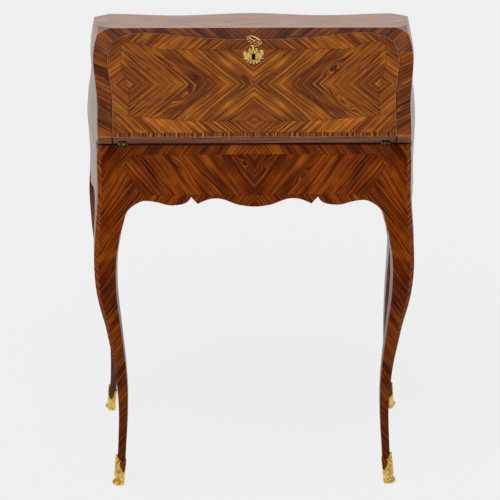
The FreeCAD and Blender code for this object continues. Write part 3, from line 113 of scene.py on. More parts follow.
def leaf_grain(material, level, height, turn, angle):
    """Across and along the grain of a mirrored leaf, whose stripes fall to the middle where
    turn is -1 and rise to it where turn is 1, at an angle to the level."""
    rise, run = math.sin(math.radians(angle)), math.cos(math.radians(angle))
    signed = add(material, "Math", {0: height, 1: turn}, operation="MULTIPLY")
    across = add(material, "Math", {0: level, 1: rise}, operation="MULTIPLY")
    across = add(material, "Math", {0: signed, 1: run, 2: across}, operation="MULTIPLY_ADD")
    along = add(material, "Math", {0: level, 1: run}, operation="MULTIPLY")
    along = add(material, "Math", {0: signed, 1: -rise, 2: along}, operation="MULTIPLY_ADD")
    return across, along


def kingwood_figure(material, place, across, along, leaf, colours, knots=()):
    """The striped figure of kingwood, in millimetres; leaf is a number that differs between
    leaves. Stripes bend round a knot: its middle, its radii, the way its long radius leans
    and how far it pushes them. Gives the colour and the pores."""
    for middle, radii, lean, push in knots:
        near = add(material, "VectorMath", {0: place, 1: middle}, operation="SUBTRACT")
        near = add(material, "VectorRotate", {0: near, "Center": (0, 0, 0), "Angle": math.radians(lean[1])},
                   rotation_type=lean[0])
        near = add(material, "VectorMath", {0: near, 1: [1 / r for r in radii]}, operation="MULTIPLY")
        near = add(material, "VectorMath", {0: near}, operation="LENGTH")
        pushed = add(material, "MapRange", {0: near, 1: 0.0, 2: 1.0, 3: push, 4: 0.0},
                     interpolation_type="SMOOTHSTEP")
        across = add(material, "Math", {0: across, 1: pushed}, operation="ADD")
    # Stripes wander by up to 20 mm, over some 45 mm across the grain and 150 mm along it
    grain = add(material, "CombineXYZ", {0: across, 1: along, 2: leaf})
    wander = add(material, "VectorMath", {0: grain, 1: (1 / 45, 1 / 150, 1.0)}, operation="MULTIPLY")
    wander = add(material, "TexNoise", {"Vector": wander, "Scale": 1.0, "Detail": 1.0})
    across = add(material, "Math", {0: wander, 1: 20.0, 2: across}, operation="MULTIPLY_ADD")
    grain = add(material, "CombineXYZ", {0: across, 1: along, 2: leaf})
    # Growth bands are 10 to 20 mm apart and dark and light lines in them 3 to 6 mm; pores are
    # finer than the picture shows and are drawn 1.6 mm apart; clouds are about 40 mm wide.
    # Each has its size across and along the grain, a number that sets it apart, and a weight.
    marks = []
    figure = 0.0
    for across_size, along_size, seed, detail, weight in (
            (18, 260, 1.0, 1.0, 0.32),
            (3.8, 190, 1.7, 1.0, 0.34),
            (1.6, 40, 2.3, 1.0, 0.34),
            (42, 80, 3.1, 2.0, 0.55)):
        mark = add(material, "VectorMath", {0: grain, 1: (1 / across_size, 1 / along_size, seed)},
                   operation="MULTIPLY")
        marks.append(add(material, "TexNoise", {"Vector": mark, "Scale": 1.0, "Detail": detail}))
        figure = add(material, "Math", {0: marks[-1], 1: weight, 2: figure}, operation="MULTIPLY_ADD")
    bands, lines, pores = marks[:3]
    pale, orange, red, brown, dark = colours
    colour = add(material, "ValToRGB", {0: figure}, stops=(
        (0.62, brown), (0.72, red), (0.85, orange), (0.97, pale)))
    # Dark lines crowd in the dark bands, and thin light ones lie beside them
    drawn = add(material, "MapRange", {0: apart(material, lines, 0.46), 1: 0.0, 2: 0.045, 3: 1.0, 4: 0.0})
    strong = add(material, "MapRange", {0: bands, 1: 0.40, 2: 0.62, 3: 1.0, 4: 0.35})
    drawn = add(material, "Math", {0: drawn, 1: strong}, operation="MULTIPLY")
    colour = add(material, "Mix", {0: drawn, 6: colour, 7: linear(dark)}, data_type="RGBA")
    drawn = add(material, "MapRange", {0: apart(material, lines, 0.56), 1: 0.0, 2: 0.028, 3: 0.8, 4: 0.0})
    colour = add(material, "Mix", {0: drawn, 6: colour, 7: linear(pale)}, data_type="RGBA")
    return colour, pores


def bare_material(name):
    """A new material with no nodes in it."""
    material = bpy.data.materials.new(name)
    material.use_nodes = True
    material.node_tree.nodes.clear()
    return material


def polished_veneer(name, material_of, shine=0.15):
    """A veneer under French polish, which is clear and warm, a little uneven, and drawn down
    into the pores. Its mirror is faint from in front and strong at a glancing view."""
    material = bare_material(name)
    colour, pores = material_of(material)
    worn = add(material, "TexNoise", {"Scale": 9.0, "Detail": 3.0})
    rough = add(material, "MapRange", {0: worn, 3: 0.20, 4: 0.32})
    bump = add(material, "Bump", {"Height": pores, "Strength": 0.12, "Distance": 0.4 * MM})
    surface = add(material, "BsdfPrincipled", {
        "Base Color": colour, "Roughness": rough, "Normal": bump, "IOR": 1.5,
        "Specular IOR Level": shine})
    add(material, "OutputMaterial", {"Surface": surface})
    return material


# The front: a shaped panel with its grain falling to the middle, in a band and on legs with
# the grain rising to it. Sides and back: lozenges of four mirrored leaves in a band.
PANEL_TOP = 698.0
PANEL_FOOT = 621.0
# Height and half width of the panel's end near its foot, at its point and near its top
PANEL_END = ((626.0, 220.0), (675.0, 249.0), (699.5, 231.0))
CHEVRON_FOOT = 615.0
SIDE_MIDDLE = (0.0, -29.0, 741.0)
SIDE_PANEL = (0.0, 132.0, 128.0)
BACK_PANEL = 262.0
CASE_ANGLE = 53
CASE_KNOTS = (
    ((-16, -205, 682), (20, 40, 10), ("Y_AXIS", -52), 12),
    ((22, -205, 680), (18, 40, 9), ("Y_AXIS", 52), 11),
    ((-136, -205, 672), (34, 60, 11), ("Y_AXIS", -52), 8),
    ((92, -205, 664), (30, 60, 10), ("Y_AXIS", 52), 9),
)
# How far a face is turned sideways to be a side or a cant, and backwards to be the back
SIDE_TURN = 0.90
CANT_TURN = 0.25
BACK_TURN = 0.3
CANT_START = 279.0
CANT_MIDDLE = 288.0
CANT_STRIPE = 5.0
# Heights between which the legs grow darker towards the feet
ANKLE = 120.0
KNEE = 650.0
# Heights over which the painted shadow under the overhanging fall darkens
SHADOW_UNDER_FALL_START = 714.5
SHADOW_UNDER_FALL_FULL = 717.5


def case_veneer(m):
    """Colour and pores of the veneer on the case."""
    place = in_millimetres(m)
    split = add(m, "SeparateXYZ", {0: place})
    z = split.outputs[2]
    turned = add(m, "SeparateXYZ", {0: facing_of(m)})
    out = add(m, "Math", {0: split.outputs[0]}, operation="ABSOLUTE")
    # Panel on the apron: it ends in a point at each side
    ends = []
    for (low, half_low), (high, half_high) in zip(PANEL_END, PANEL_END[1:]):
        ends.append(add(m, "MapRange", {0: z, 1: low, 2: high, 3: half_low, 4: half_high}, clamp=False))
    panel_end = add(m, "Math", {0: ends[0], 1: ends[1]}, operation="MINIMUM")
    past_end = add(m, "Math", {0: out, 1: panel_end}, operation="SUBTRACT")
    past_top = add(m, "Math", {0: z, 1: PANEL_TOP}, operation="SUBTRACT")
    past_foot = add(m, "Math", {0: PANEL_FOOT, 1: z}, operation="SUBTRACT")
    front_edge = add(m, "Math", {0: past_end, 1: past_top}, operation="MAXIMUM")
    front_edge = add(m, "Math", {0: front_edge, 1: past_foot}, operation="MAXIMUM")
    front_height = add(m, "Math", {0: z, 1: CHEVRON_FOOT}, operation="SUBTRACT")
    # Lozenge panels on the sides and the back
    from_middle = add(m, "VectorMath", {0: place, 1: SIDE_MIDDLE}, operation="SUBTRACT")
    from_middle = add(m, "VectorMath", {0: from_middle}, operation="ABSOLUTE")
    past_panel = add(m, "VectorMath", {0: from_middle, 1: SIDE_PANEL}, operation="SUBTRACT")
    lozenge = add(m, "SeparateXYZ", {0: from_middle})
    past = add(m, "SeparateXYZ", {0: past_panel})
    side_edge = add(m, "Math", {0: past.outputs[1], 1: past.outputs[2]}, operation="MAXIMUM")
    back_edge = add(m, "Math", {0: out, 1: BACK_PANEL}, operation="SUBTRACT")
    back_edge = add(m, "Math", {0: back_edge, 1: past.outputs[2]}, operation="MAXIMUM")
    # Which face this is
    sideways = add(m, "Math", {0: turned.outputs[0]}, operation="ABSOLUTE")
    is_side = add(m, "Math", {0: sideways, 1: SIDE_TURN}, operation="GREATER_THAN")
    is_back = add(m, "Math", {0: turned.outputs[1], 1: BACK_TURN}, operation="GREATER_THAN")
    level = add(m, "Mix", {0: is_side, 2: out, 3: lozenge.outputs[1]})
    height = add(m, "Mix", {0: is_back, 2: front_height, 3: lozenge.outputs[2]})
    height = add(m, "Mix", {0: is_side, 2: height, 3: lozenge.outputs[2]})
    edge = add(m, "Mix", {0: is_back, 2: front_edge, 3: back_edge})
    edge = add(m, "Mix", {0: is_side, 2: edge, 3: side_edge})
    turn = add(m, "Math", {0: edge}, operation="SIGN")
    across, along = leaf_grain(m, level, height, turn, CASE_ANGLE)
    leaf = add(m, "Math", {0: turn, 1: 1.7, 2: 4.3}, operation="MULTIPLY_ADD")
    colour, pores = kingwood_figure(m, place, across, along, leaf, CASE_KINGWOOD, CASE_KNOTS)
    # The cants of the front legs are faced with narrow strips whose stripes meet in chevrons
    cant = add(m, "Math", {0: sideways, 1: CANT_TURN}, operation="GREATER_THAN")
    cant_end = add(m, "Math", {0: sideways, 1: SIDE_TURN}, operation="LESS_THAN")
    cant = add(m, "Math", {0: cant, 1: cant_end}, operation="MULTIPLY")
    outside = add(m, "Math", {0: out, 1: CANT_START}, operation="GREATER_THAN")
    cant = add(m, "Math", {0: cant, 1: outside}, operation="MULTIPLY")
    not_back = add(m, "Math", {0: 1.0, 1: is_back}, operation="SUBTRACT")
    cant = add(m, "Math", {0: cant, 1: not_back}, operation="MULTIPLY")
    chevron = add(m, "Math", {0: apart(m, out, CANT_MIDDLE), 1: z}, operation="SUBTRACT")
    chevron = add(m, "TexNoise", {"W": chevron, "Scale": 1 / CANT_STRIPE, "Detail": 1.0},
                  noise_dimensions="1D")
    strip = add(m, "ValToRGB", {0: chevron}, stops=(
        (0.36, CASE_KINGWOOD[3]), (0.48, CASE_KINGWOOD[1]), (0.60, CASE_KINGWOOD[0])))
    colour = add(m, "Mix", {0: cant, 6: colour, 7: strip}, data_type="RGBA")
    # The legs grow darker towards their feet
    tone = add(m, "MapRange", {0: z, 1: ANKLE, 2: KNEE, 3: 0.66, 4: 1.0})
    colour = add(m, "VectorMath", {0: colour, "Scale": tone}, operation="SCALE")
    # The joint between the leaves shows as a dark line, and a shadow is painted on the apron just under the
    # overhanging fall
    joint = add(m, "Math", {0: edge}, operation="ABSOLUTE")
    joint = add(m, "MapRange", {0: joint, 1: 0.3, 2: 1.2, 3: 0.3, 4: 0.0})
    # Painted shadow: the front of the apron goes dark towards the fall's overhang above it
    under = add(m, "MapRange", {0: z, 1: SHADOW_UNDER_FALL_START, 2: SHADOW_UNDER_FALL_FULL, 3: 0.0, 4: 0.95})
    ahead = add(m, "Math", {0: turned.outputs[1], 1: -BACK_TURN}, operation="LESS_THAN")
    under = add(m, "Math", {0: under, 1: ahead}, operation="MULTIPLY")
    joint = add(m, "Math", {0: joint, 1: under}, operation="MAXIMUM")
    colour = add(m, "Mix", {0: joint, 6: colour, 7: linear(CASE_KINGWOOD[4])}, data_type="RGBA")
    return colour, pores


kingwood_case = polished_veneer("kingwood_veneer_of_the_case", case_veneer)
for name in ("front_apron", "back_panel"):
    nodes[name].data.materials[0] = kingwood_case
# The sides and the posts behind them have a fuller polish
kingwood_sides = polished_veneer("kingwood_veneer_of_the_sides", case_veneer, 0.32)
for name in ("side_panel_left", "side_panel_right", "rear_leg_left", "rear_leg_right"):
    nodes[name].data.materials[0] = kingwood_sides
# Hands and cloths have worn the polish thin on the front legs
kingwood_legs = polished_veneer("kingwood_veneer_of_the_front_legs", case_veneer, 0.05)
for name in ("front_leg_left", "front_leg_right"):
    nodes[name].data.materials[0] = kingwood_legs

# Top: one board veneered in four leaves that meet at the middle, in a band whose grain runs
# the other way, and polished as the case is.
TOP_MIDDLE = (0.0, 86.0, 0.0)
TOP_PANEL = (290.0, 90.0, 0.0)
TOP_ANGLE = 45


def top_veneer(m):
    """Colour and pores of the veneer on the top."""
    place = in_millimetres(m)
    from_middle = add(m, "VectorMath", {0: place, 1: TOP_MIDDLE}, operation="SUBTRACT")
    from_middle = add(m, "VectorMath", {0: from_middle}, operation="ABSOLUTE")
    split = add(m, "SeparateXYZ", {0: from_middle})
    past = add(m, "VectorMath", {0: from_middle, 1: TOP_PANEL}, operation="SUBTRACT")
    past = add(m, "SeparateXYZ", {0: past})
    edge = add(m, "Math", {0: past.outputs[0], 1: past.outputs[1]}, operation="MAXIMUM")
    turn = add(m, "Math", {0: edge}, operation="SIGN")
    across, along = leaf_grain(m, split.outputs[0], split.outputs[1], turn, TOP_ANGLE)
    colour, pores = kingwood_figure(m, place, across, along, turn, CASE_KINGWOOD)
    joint = add(m, "Math", {0: edge}, operation="ABSOLUTE")
    joint = add(m, "MapRange", {0: joint, 1: 0.3, 2: 1.5, 3: 0.5, 4: 0.0})
    colour = add(m, "Mix", {0: joint, 6: colour, 7: linear(CASE_KINGWOOD[4])}, data_type="RGBA")
    return colour, pores


nodes["top_board"].data.materials[0] = polished_veneer("kingwood_veneer_of_the_top", top_veneer)

# Slope frame: two stiles and a shaped rail round the fall, with their grain
# slanting in towards the fall. A plain strip is glued on their lower ends.
SLOPE = math.radians(48)
fall_hinge = next(joint for joint in frame["joints"] if joint["name"] == "fall_hinge")
HINGE_LINE = Vector([part / MM for part in fall_hinge["pos_m"]])
FALL_THICK = 22.0
STILE_KINGWOOD = ("#a65c0e", "#783b08", "#5c2806", "#441a04", "#1f0b02")
RAIL_KINGWOOD = ("#8c480e", "#682e08", "#522106", "#3d1604", "#1d0902")
STRIP_COLOURS = ("#a3705a", "#8a5844", "#6c4032")
STILE_ANGLE = 29
RAIL_ANGLE = 42
# How far a face is turned down the slope to be an end
END_TURN = 0.7


def in_slope(material, place):
    """A place in millimetres laid into the slope: across, up the slope, and out of it."""
    moved = add(material, "VectorMath", {0: place, 1: HINGE_LINE}, operation="SUBTRACT")
    return add(material, "VectorRotate", {0: moved, "Center": (0, 0, 0), "Angle": -SLOPE},
               rotation_type="X_AXIS")


def with_end_strip(material, place, colour):
    """The veneer's colour, but plain long-grain strips on faces that look down the slope."""
    down_slope = (0, -math.cos(SLOPE), -math.sin(SLOPE))
    ahead = add(material, "VectorMath", {0: facing_of(material), 1: down_slope}, operation="DOT_PRODUCT")
    is_end = add(material, "Math", {0: ahead, 1: END_TURN}, operation="GREATER_THAN")
    fibres = add(material, "VectorMath", {0: place, 1: (1 / 120, 1 / 3.5, 1 / 3.5)}, operation="MULTIPLY")
    fibres = add(material, "TexNoise", {"Vector": fibres, "Scale": 1.0, "Detail": 2.0})
    strip = add(material, "ValToRGB", {0: fibres}, stops=(
        (0.38, STRIP_COLOURS[2]), (0.50, STRIP_COLOURS[1]), (0.66, STRIP_COLOURS[0])))
    return add(material, "Mix", {0: is_end, 6: colour, 7: strip}, data_type="RGBA")


def stile_veneer(m):
    """Colour and pores of the veneer on the stiles."""
    place = in_millimetres(m)
    split = add(m, "SeparateXYZ", {0: in_slope(m, place)})
    out = add(m, "Math", {0: split.outputs[0]}, operation="ABSOLUTE")
    across, along = leaf_grain(m, out, split.outputs[1], -1.0, STILE_ANGLE)
    leaf = add(m, "Math", {0: split.outputs[0]}, operation="SIGN")
    colour, pores = kingwood_figure(m, place, across, along, leaf, STILE_KINGWOOD)
    foot = add(m, "MapRange", {0: split.outputs[1], 1: 2.5, 2: 4.5, 3: 0.7, 4: 0.0})
    colour = add(m, "Mix", {0: foot, 6: colour, 7: linear(STILE_KINGWOOD[0])}, data_type="RGBA")
    return with_end_strip(m, place, colour), pores


def rail_veneer(m):
    """Colour and pores of the veneer on the rail."""
    place = in_millimetres(m)
    split = add(m, "SeparateXYZ", {0: in_slope(m, place)})
    out = add(m, "Math", {0: split.outputs[0]}, operation="ABSOLUTE")
    across, along = leaf_grain(m, out, split.outputs[1], -1.0, RAIL_ANGLE)
    return kingwood_figure(m, place, across, along, 12.6, RAIL_KINGWOOD)


kingwood_stile = polished_veneer("kingwood_veneer_of_the_stiles", stile_veneer)
nodes["slope_stile_left"].data.materials[0] = kingwood_stile
nodes["slope_stile_right"].data.materials[0] = kingwood_stile
nodes["slope_rail"].data.materials[0] = polished_veneer("kingwood_veneer_of_the_rail", rail_veneer,
                                                         0.30)

# Fall: the hinged writing flap. Its face is a panel of four mirrored leaves in a border whose grain runs the
# other way, with a narrow cross-banded foot, and a thin pale bead all round its edge is a painted highlight,
# for the light that the edge catches.
LEAF_LEVEL = 117.4
FALL_ANGLE = 45
FALL_KINGWOOD = ("#b46c14", "#86460a", "#6a3107", "#522204", "#280d02")
FALL_KNOTS = (
    ((-110, 138, 22), (30, 13, 60), ("Z_AXIS", 45), 13),
    ((-130, 92, 22), (44, 14, 60), ("Z_AXIS", -45), 14),
    ((152, 156, 22), (36, 12, 60), ("Z_AXIS", -45), 12),
    ((168, 74, 22), (46, 12, 60), ("Z_AXIS", 45), 12),
    ((-16, 136, 22), (24, 9, 60), ("Z_AXIS", 45), 8),
)
# Each border's inner line bends between two places along it, from one distance to another
BORDER_SIDE = (95.0, 172.0, 238.5, 257.0)
BORDER_TOP = (175.0, 236.0, 197.0, 213.0)
BORDER_FOOT = (100.0, 238.0, 35.5, 46.0)
FOOT_BAND = 9.5
DASH_LENGTH = 5.2
SHADOW_GAP = 266.8
SHADOW_HEIGHT = 1.2
HINGE_MIDDLE = 249.0
HINGE_HALF = 7.5
HINGE_DEPTH = 9.0
KEY_HALF = 3.4
KEY_FOOT = 171.4
KEY_HEAD = 185.4


def fall_veneer(m):
    """Colour and pores of the veneer on the fall."""
    place = in_millimetres(m)
    slope_place = in_slope(m, place)
    split = add(m, "SeparateXYZ", {0: slope_place})
    up = split.outputs[1]
    out = add(m, "Math", {0: split.outputs[0]}, operation="ABSOLUTE")
    inner_lines = []
    for place_along, (start, end, near, far) in ((up, BORDER_SIDE), (out, BORDER_TOP), (out, BORDER_FOOT)):
        inner_lines.append(add(m, "MapRange", {0: place_along, 1: start, 2: end, 3: near, 4: far},
                               interpolation_type="SMOOTHSTEP"))
    side_edge, top_edge, foot_edge = inner_lines
    past_side = add(m, "Math", {0: out, 1: side_edge}, operation="SUBTRACT")
    past_top = add(m, "Math", {0: up, 1: top_edge}, operation="SUBTRACT")
    past_foot = add(m, "Math", {0: foot_edge, 1: up}, operation="SUBTRACT")
    edge = add(m, "Math", {0: past_side, 1: past_top}, operation="MAXIMUM")
    edge = add(m, "Math", {0: edge, 1: past_foot}, operation="MAXIMUM")
    turn = add(m, "Math", {0: edge}, operation="SIGN")
    across, along = leaf_grain(m, out, apart(m, up, LEAF_LEVEL), turn, FALL_ANGLE)
    is_foot = add(m, "Math", {0: up, 1: FOOT_BAND}, operation="LESS_THAN")
    leaf = add(m, "Math", {0: turn, 1: 2.7, 2: 21.0}, operation="MULTIPLY_ADD")
    colour, pores = kingwood_figure(m, slope_place, across, along, leaf, FALL_KINGWOOD, FALL_KNOTS)
    # The leaves along the foot are a lighter cut
    tone = add(m, "MapRange", {0: past_foot, 1: -0.5, 2: 0.5, 3: 1.0, 4: 1.24})
    colour = add(m, "VectorMath", {0: colour, "Scale": tone}, operation="SCALE")
    joint = add(m, "Math", {0: edge}, operation="ABSOLUTE")
    joint = add(m, "MapRange", {0: joint, 1: 0.3, 2: 1.5, 3: 0.4, 4: 0.0})
    foot_joint = add(m, "MapRange", {0: apart(m, up, FOOT_BAND), 1: 0.5, 2: 2.0, 3: 0.6, 4: 0.0})
    joint = add(m, "Math", {0: joint, 1: foot_joint}, operation="MAXIMUM")
    colour = add(m, "Mix", {0: joint, 6: colour, 7: linear(FALL_KINGWOOD[4])}, data_type="RGBA")
    dashes = add(m, "TexNoise", {"W": split.outputs[0], "Scale": 1 / DASH_LENGTH, "Detail": 4.0,
                                 "Roughness": 0.75}, noise_dimensions="1D")
    dashes = add(m, "ValToRGB", {0: dashes}, stops=(
        (0.42, FALL_KINGWOOD[4]), (0.51, FALL_KINGWOOD[2]), (0.70, FALL_KINGWOOD[0])))
    colour = add(m, "Mix", {0: is_foot, 6: colour, 7: dashes}, data_type="RGBA")
    colour = with_end_strip(m, place, colour)
    # The end of the leaf of each hinge shows in the strip, and the gap at each end of the strip is painted
    # dark as its shadow
    at_hinge = add(m, "Math", {0: apart(m, out, HINGE_MIDDLE), 1: HINGE_HALF}, operation="LESS_THAN")
    inside = add(m, "Math", {0: split.outputs[2], 1: HINGE_DEPTH}, operation="LESS_THAN")
    at_hinge = add(m, "Math", {0: at_hinge, 1: inside}, operation="MULTIPLY")
    at_gap = add(m, "Math", {0: out, 1: SHADOW_GAP}, operation="GREATER_THAN")
    at_gap = add(m, "Math", {0: at_gap, 1: at_hinge}, operation="MAXIMUM")
    low = add(m, "Math", {0: up, 1: SHADOW_HEIGHT}, operation="LESS_THAN")
    at_gap = add(m, "Math", {0: at_gap, 1: low}, operation="MULTIPLY")
    # The wood that shows in the keyhole is painted near black, as the shade deep in the hole
    from_key = apart(m, up, (KEY_FOOT + KEY_HEAD) / 2)
    at_key = add(m, "Math", {0: from_key, 1: (KEY_HEAD - KEY_FOOT) / 2}, operation="LESS_THAN")
    beside_key = add(m, "Math", {0: out, 1: KEY_HALF}, operation="LESS_THAN")
    at_key = add(m, "Math", {0: at_key, 1: beside_key}, operation="MULTIPLY")
    dark = add(m, "Math", {0: at_gap, 1: at_key}, operation="MAXIMUM")
    colour = add(m, "Mix", {0: dark, 6: colour, 7: linear("#1d1a10")}, data_type="RGBA")
    return colour, pores


nodes["fall_panel"].data.materials[0] = polished_veneer("kingwood_veneer_of_the_fall", fall_veneer)


def link_piece(name, data):
    """An object in the scene for a mesh or a curve."""
    piece = bpy.data.objects.new(name, data)
    bpy.context.scene.collection.objects.link(piece)
    return piece


def on_fall(x, up, out):
    """A place on the fall, in metres: across, up the slope and out of it, in millimetres."""
    back = HINGE_LINE.y + up * math.cos(SLOPE) - out * math.sin(SLOPE)
    return Vector((x, back, HINGE_LINE.z + up * math.sin(SLOPE) + out * math.cos(SLOPE))) * MM


# The bead follows the outline of the fall's face, just inside it
BEAD_HALF = 0.55
BEAD_INSET = 0.1
FACE_SLACK = 0.3
face_out = Vector((0, -math.sin(SLOPE), math.cos(SLOPE)))
face_level = on_fall(0, 0, FALL_THICK).dot(face_out)
fall_form = bmesh.new()
fall_form.from_mesh(nodes["fall_panel"].data)
bmesh.ops.remove_doubles(fall_form, verts=fall_form.verts[:], dist=0.01 * MM)
face_parts = {f for f in fall_form.faces
              if abs(f.calc_center_median().dot(face_out) - face_level) < FACE_SLACK * MM}
rim_edges = [e for e in fall_form.edges if sum(f in face_parts for f in e.link_faces) == 1]
neighbours = {}
for edge in rim_edges:
    here, there = edge.verts
    neighbours.setdefault(here, []).append(there)
    neighbours.setdefault(there, []).append(here)
loops = []
unseen = dict.fromkeys(neighbours)
while unseen:
    onward = [next(iter(unseen))]
    walk = []
    while onward:
        walk.append(onward[0])
        del unseen[onward[0]]
        onward = [v for v in neighbours[walk[-1]] if v in unseen]
    loops.append([v.co.copy() for v in walk])
outline = max(loops, key=len)
fall_form.free()
outline_middle = sum(outline, Vector()) / len(outline)
bead = bpy.data.curves.new("pale_bead_painted_as_highlight", "CURVE")
bead.dimensions = "3D"
bead.bevel_depth = BEAD_HALF * MM
bead.bevel_resolution = 3
strand = bead.splines.new("POLY")
strand.points.add(len(outline) - 1)
for i, (knot, here) in enumerate(zip(strand.points, outline)):
    before, after = outline[i - 1], outline[(i + 1) % len(outline)]
    inward = face_out.cross((after - before).normalized())
    if inward.dot(outline_middle - here) < 0:
        inward = -inward
    knot.co = (*(here + inward * (BEAD_HALF + BEAD_INSET) * MM), 1.0)
strand.use_cyclic_u = True
# A painted highlight: a thin dull line, paler and pinker than the kingwood, coloured as the light that the
# fall's edge catches
painted_edge_highlight = bare_material("bead_painted_as_edge_highlight")
m = painted_edge_highlight
place = in_millimetres(m)
fibres = add(m, "TexNoise", {"Vector": place, "Scale": 1 / 9, "Detail": 3.0})
colour = add(m, "ValToRGB", {0: fibres}, stops=((0.35, "#6e4a38"), (0.55, "#8a6554"), (0.72, "#a3806f")))
bump = add(m, "Bump", {"Height": fibres, "Strength": 0.15, "Distance": 0.2 * MM})
surface = add(m, "BsdfPrincipled", {"Base Color": colour, "Normal": bump, "Roughness": 0.4})
add(m, "OutputMaterial", {"Surface": surface})
bead.materials.append(painted_edge_highlight)
bead_piece = link_piece("pale_bead_painted_as_highlight", bead)
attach(bead_piece, "fall")

# Leather of the writing surface: a green goatskin skiver glued into a sunk bed
# on the inside of the fall, with a tooled gilt border.
LEATHER_HALF = 225.0
LEATHER_START = 32.0
LEATHER_END = 160.5
LEATHER_MIDDLE = (LEATHER_START + LEATHER_END) / 2
LEATHER_REACH = (LEATHER_END - LEATHER_START) / 2
LEATHER_THICK = 1.2
LEATHER_GAP = 0.2
LEATHER_STEP = 3.0
# How deep it sinks at its edge and under a tool, how far it waves, and the room left for that
EDGE_SINK = 0.35
TOOL_SINK = 0.12
SKIN_WAVE = 0.05
SINK_ROOM = 0.5
# Distances in from the edge of the tooled lines and of the roll between two of them
TOOLED_LINES = (9.0, 12.5, 20.0)
TOOLED_HALF = 0.6
ROLL_LINE = 16.2
ROLL_STEP = 5.0
ROLL_HALF = 1.9

# The dye of the skin is mottled, its pebbles catch the light, and the tooled lines are gold leaf
skiver = bare_material("green_goatskin_skiver")
m = skiver
place = in_millimetres(m)
split = add(m, "SeparateXYZ", {0: in_slope(m, place)})
# Goatskin pebbles are about 0.8 mm, drawn 1.4 mm so that they show
pebble = add(m, "TexVoronoi", {"Vector": place, "Scale": 1 / 1.4})
mottle = add(m, "TexNoise", {"Vector": place, "Scale": 1 / 34, "Detail": 4.0})
colour = add(m, "ValToRGB", {0: mottle}, stops=((0.35, "#1d3322"), (0.55, "#2b4a30"), (0.72, "#3d5c3a")))
out = add(m, "Math", {0: split.outputs[0]}, operation="ABSOLUTE")
in_side = add(m, "Math", {0: LEATHER_HALF, 1: out}, operation="SUBTRACT")
level = apart(m, split.outputs[1], LEATHER_MIDDLE)
in_end = add(m, "Math", {0: LEATHER_REACH, 1: level}, operation="SUBTRACT")
inward = add(m, "Math", {0: in_side, 1: in_end}, operation="MINIMUM")
gilt = 0.0
for tooled_line in TOOLED_LINES:
    line = add(m, "Math", {0: apart(m, inward, tooled_line), 1: TOOLED_HALF}, operation="LESS_THAN")
    gilt = add(m, "Math", {0: line, 1: gilt}, operation="MAXIMUM")
# Between the lines, a roll of little lozenges
lozenge = add(m, "Math", {0: split.outputs[0], 1: split.outputs[1]}, operation="ADD")
lozenge = add(m, "Math", {0: lozenge, 1: ROLL_STEP}, operation="PINGPONG")
lozenge = add(m, "Math", {0: lozenge, 1: apart(m, inward, ROLL_LINE)}, operation="ADD")
lozenge = add(m, "Math", {0: lozenge, 1: ROLL_HALF}, operation="LESS_THAN")
gilt = add(m, "Math", {0: gilt, 1: lozenge}, operation="MAXIMUM")
colour = add(m, "Mix", {0: gilt, 6: colour, 7: linear("#c9a24a")}, data_type="RGBA")
bump = add(m, "Bump", {"Height": pebble, "Strength": 0.25, "Distance": 0.25 * MM})
surface = add(m, "BsdfPrincipled", {"Base Color": colour, "Metallic": gilt, "Normal": bump, "Roughness": 0.5})
add(m, "OutputMaterial", {"Surface": surface})

leather_form = bmesh.new()
columns = int(2 * LEATHER_HALF / LEATHER_STEP)
rows = int(2 * LEATHER_REACH / LEATHER_STEP)
bmesh.ops.create_grid(leather_form, x_segments=columns, y_segments=rows, size=1)
for vertex in leather_form.verts:
    x = vertex.co.x * (LEATHER_HALF - LEATHER_GAP)
    up = LEATHER_MIDDLE + vertex.co.y * (LEATHER_REACH - LEATHER_GAP)
    edge = min(LEATHER_HALF - abs(x), LEATHER_REACH - abs(up - LEATHER_MIDDLE))
    # It lies almost flat, and sinks a little at its glued edge and where it is tooled
    sunk = EDGE_SINK * math.exp(-edge / 1.5)
    for tooled_line in TOOLED_LINES:
        sunk += TOOL_SINK * math.exp(-((edge - tooled_line) / 1.2) ** 2)
    sunk += SKIN_WAVE * math.sin(x / 37) * math.sin(up / 23)
    vertex.co = on_fall(x, up, sunk)
bmesh.ops.solidify(leather_form, geom=leather_form.faces[:],
                   thickness=-(LEATHER_THICK - SINK_ROOM) * MM)
bmesh.ops.recalc_face_normals(leather_form, faces=leather_form.faces[:])
leather_mesh = bpy.data.meshes.new("leather_skiver")
leather_form.to_mesh(leather_mesh)
leather_form.free()
leather_mesh.materials.append(skiver)
leather = link_piece("leather_skiver", leather_mesh)
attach(leather, "fall")
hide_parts("fall_leather")

# Writing bed, cover of the well, drawer fronts and facing strips: plain
# straight-grained kingwood, polished as the outside.
INSIDE_KINGWOOD = ("#b87430", "#9a5820", "#7c4014", "#60300d", "#3a1a08")


def inside_veneer(m):
    """Colour and pores of the straight-grained veneer inside."""
    place = in_millimetres(m)
    split = add(m, "SeparateXYZ", {0: place})
    deep = add(m, "Math", {0: split.outputs[1], 1: split.outputs[2]}, operation="ADD")
    return kingwood_figure(m, place, deep, split.outputs[0], 31.0, INSIDE_KINGWOOD)


kingwood_inside = polished_veneer("kingwood_veneer_of_the_interior", inside_veneer)
for name in ("bed_left", "bed_right", "bed_front", "well_cover", "unit_pilasters",
             "drawer_left_front", "drawer_right_front"):
    nodes[name].data.materials[0] = kingwood_inside

# Boards of the interior, the linings of the drawers and the stops of the fall: oak, planed
# and oiled, and glued together. Its rays show as short flecks in a straight grain.


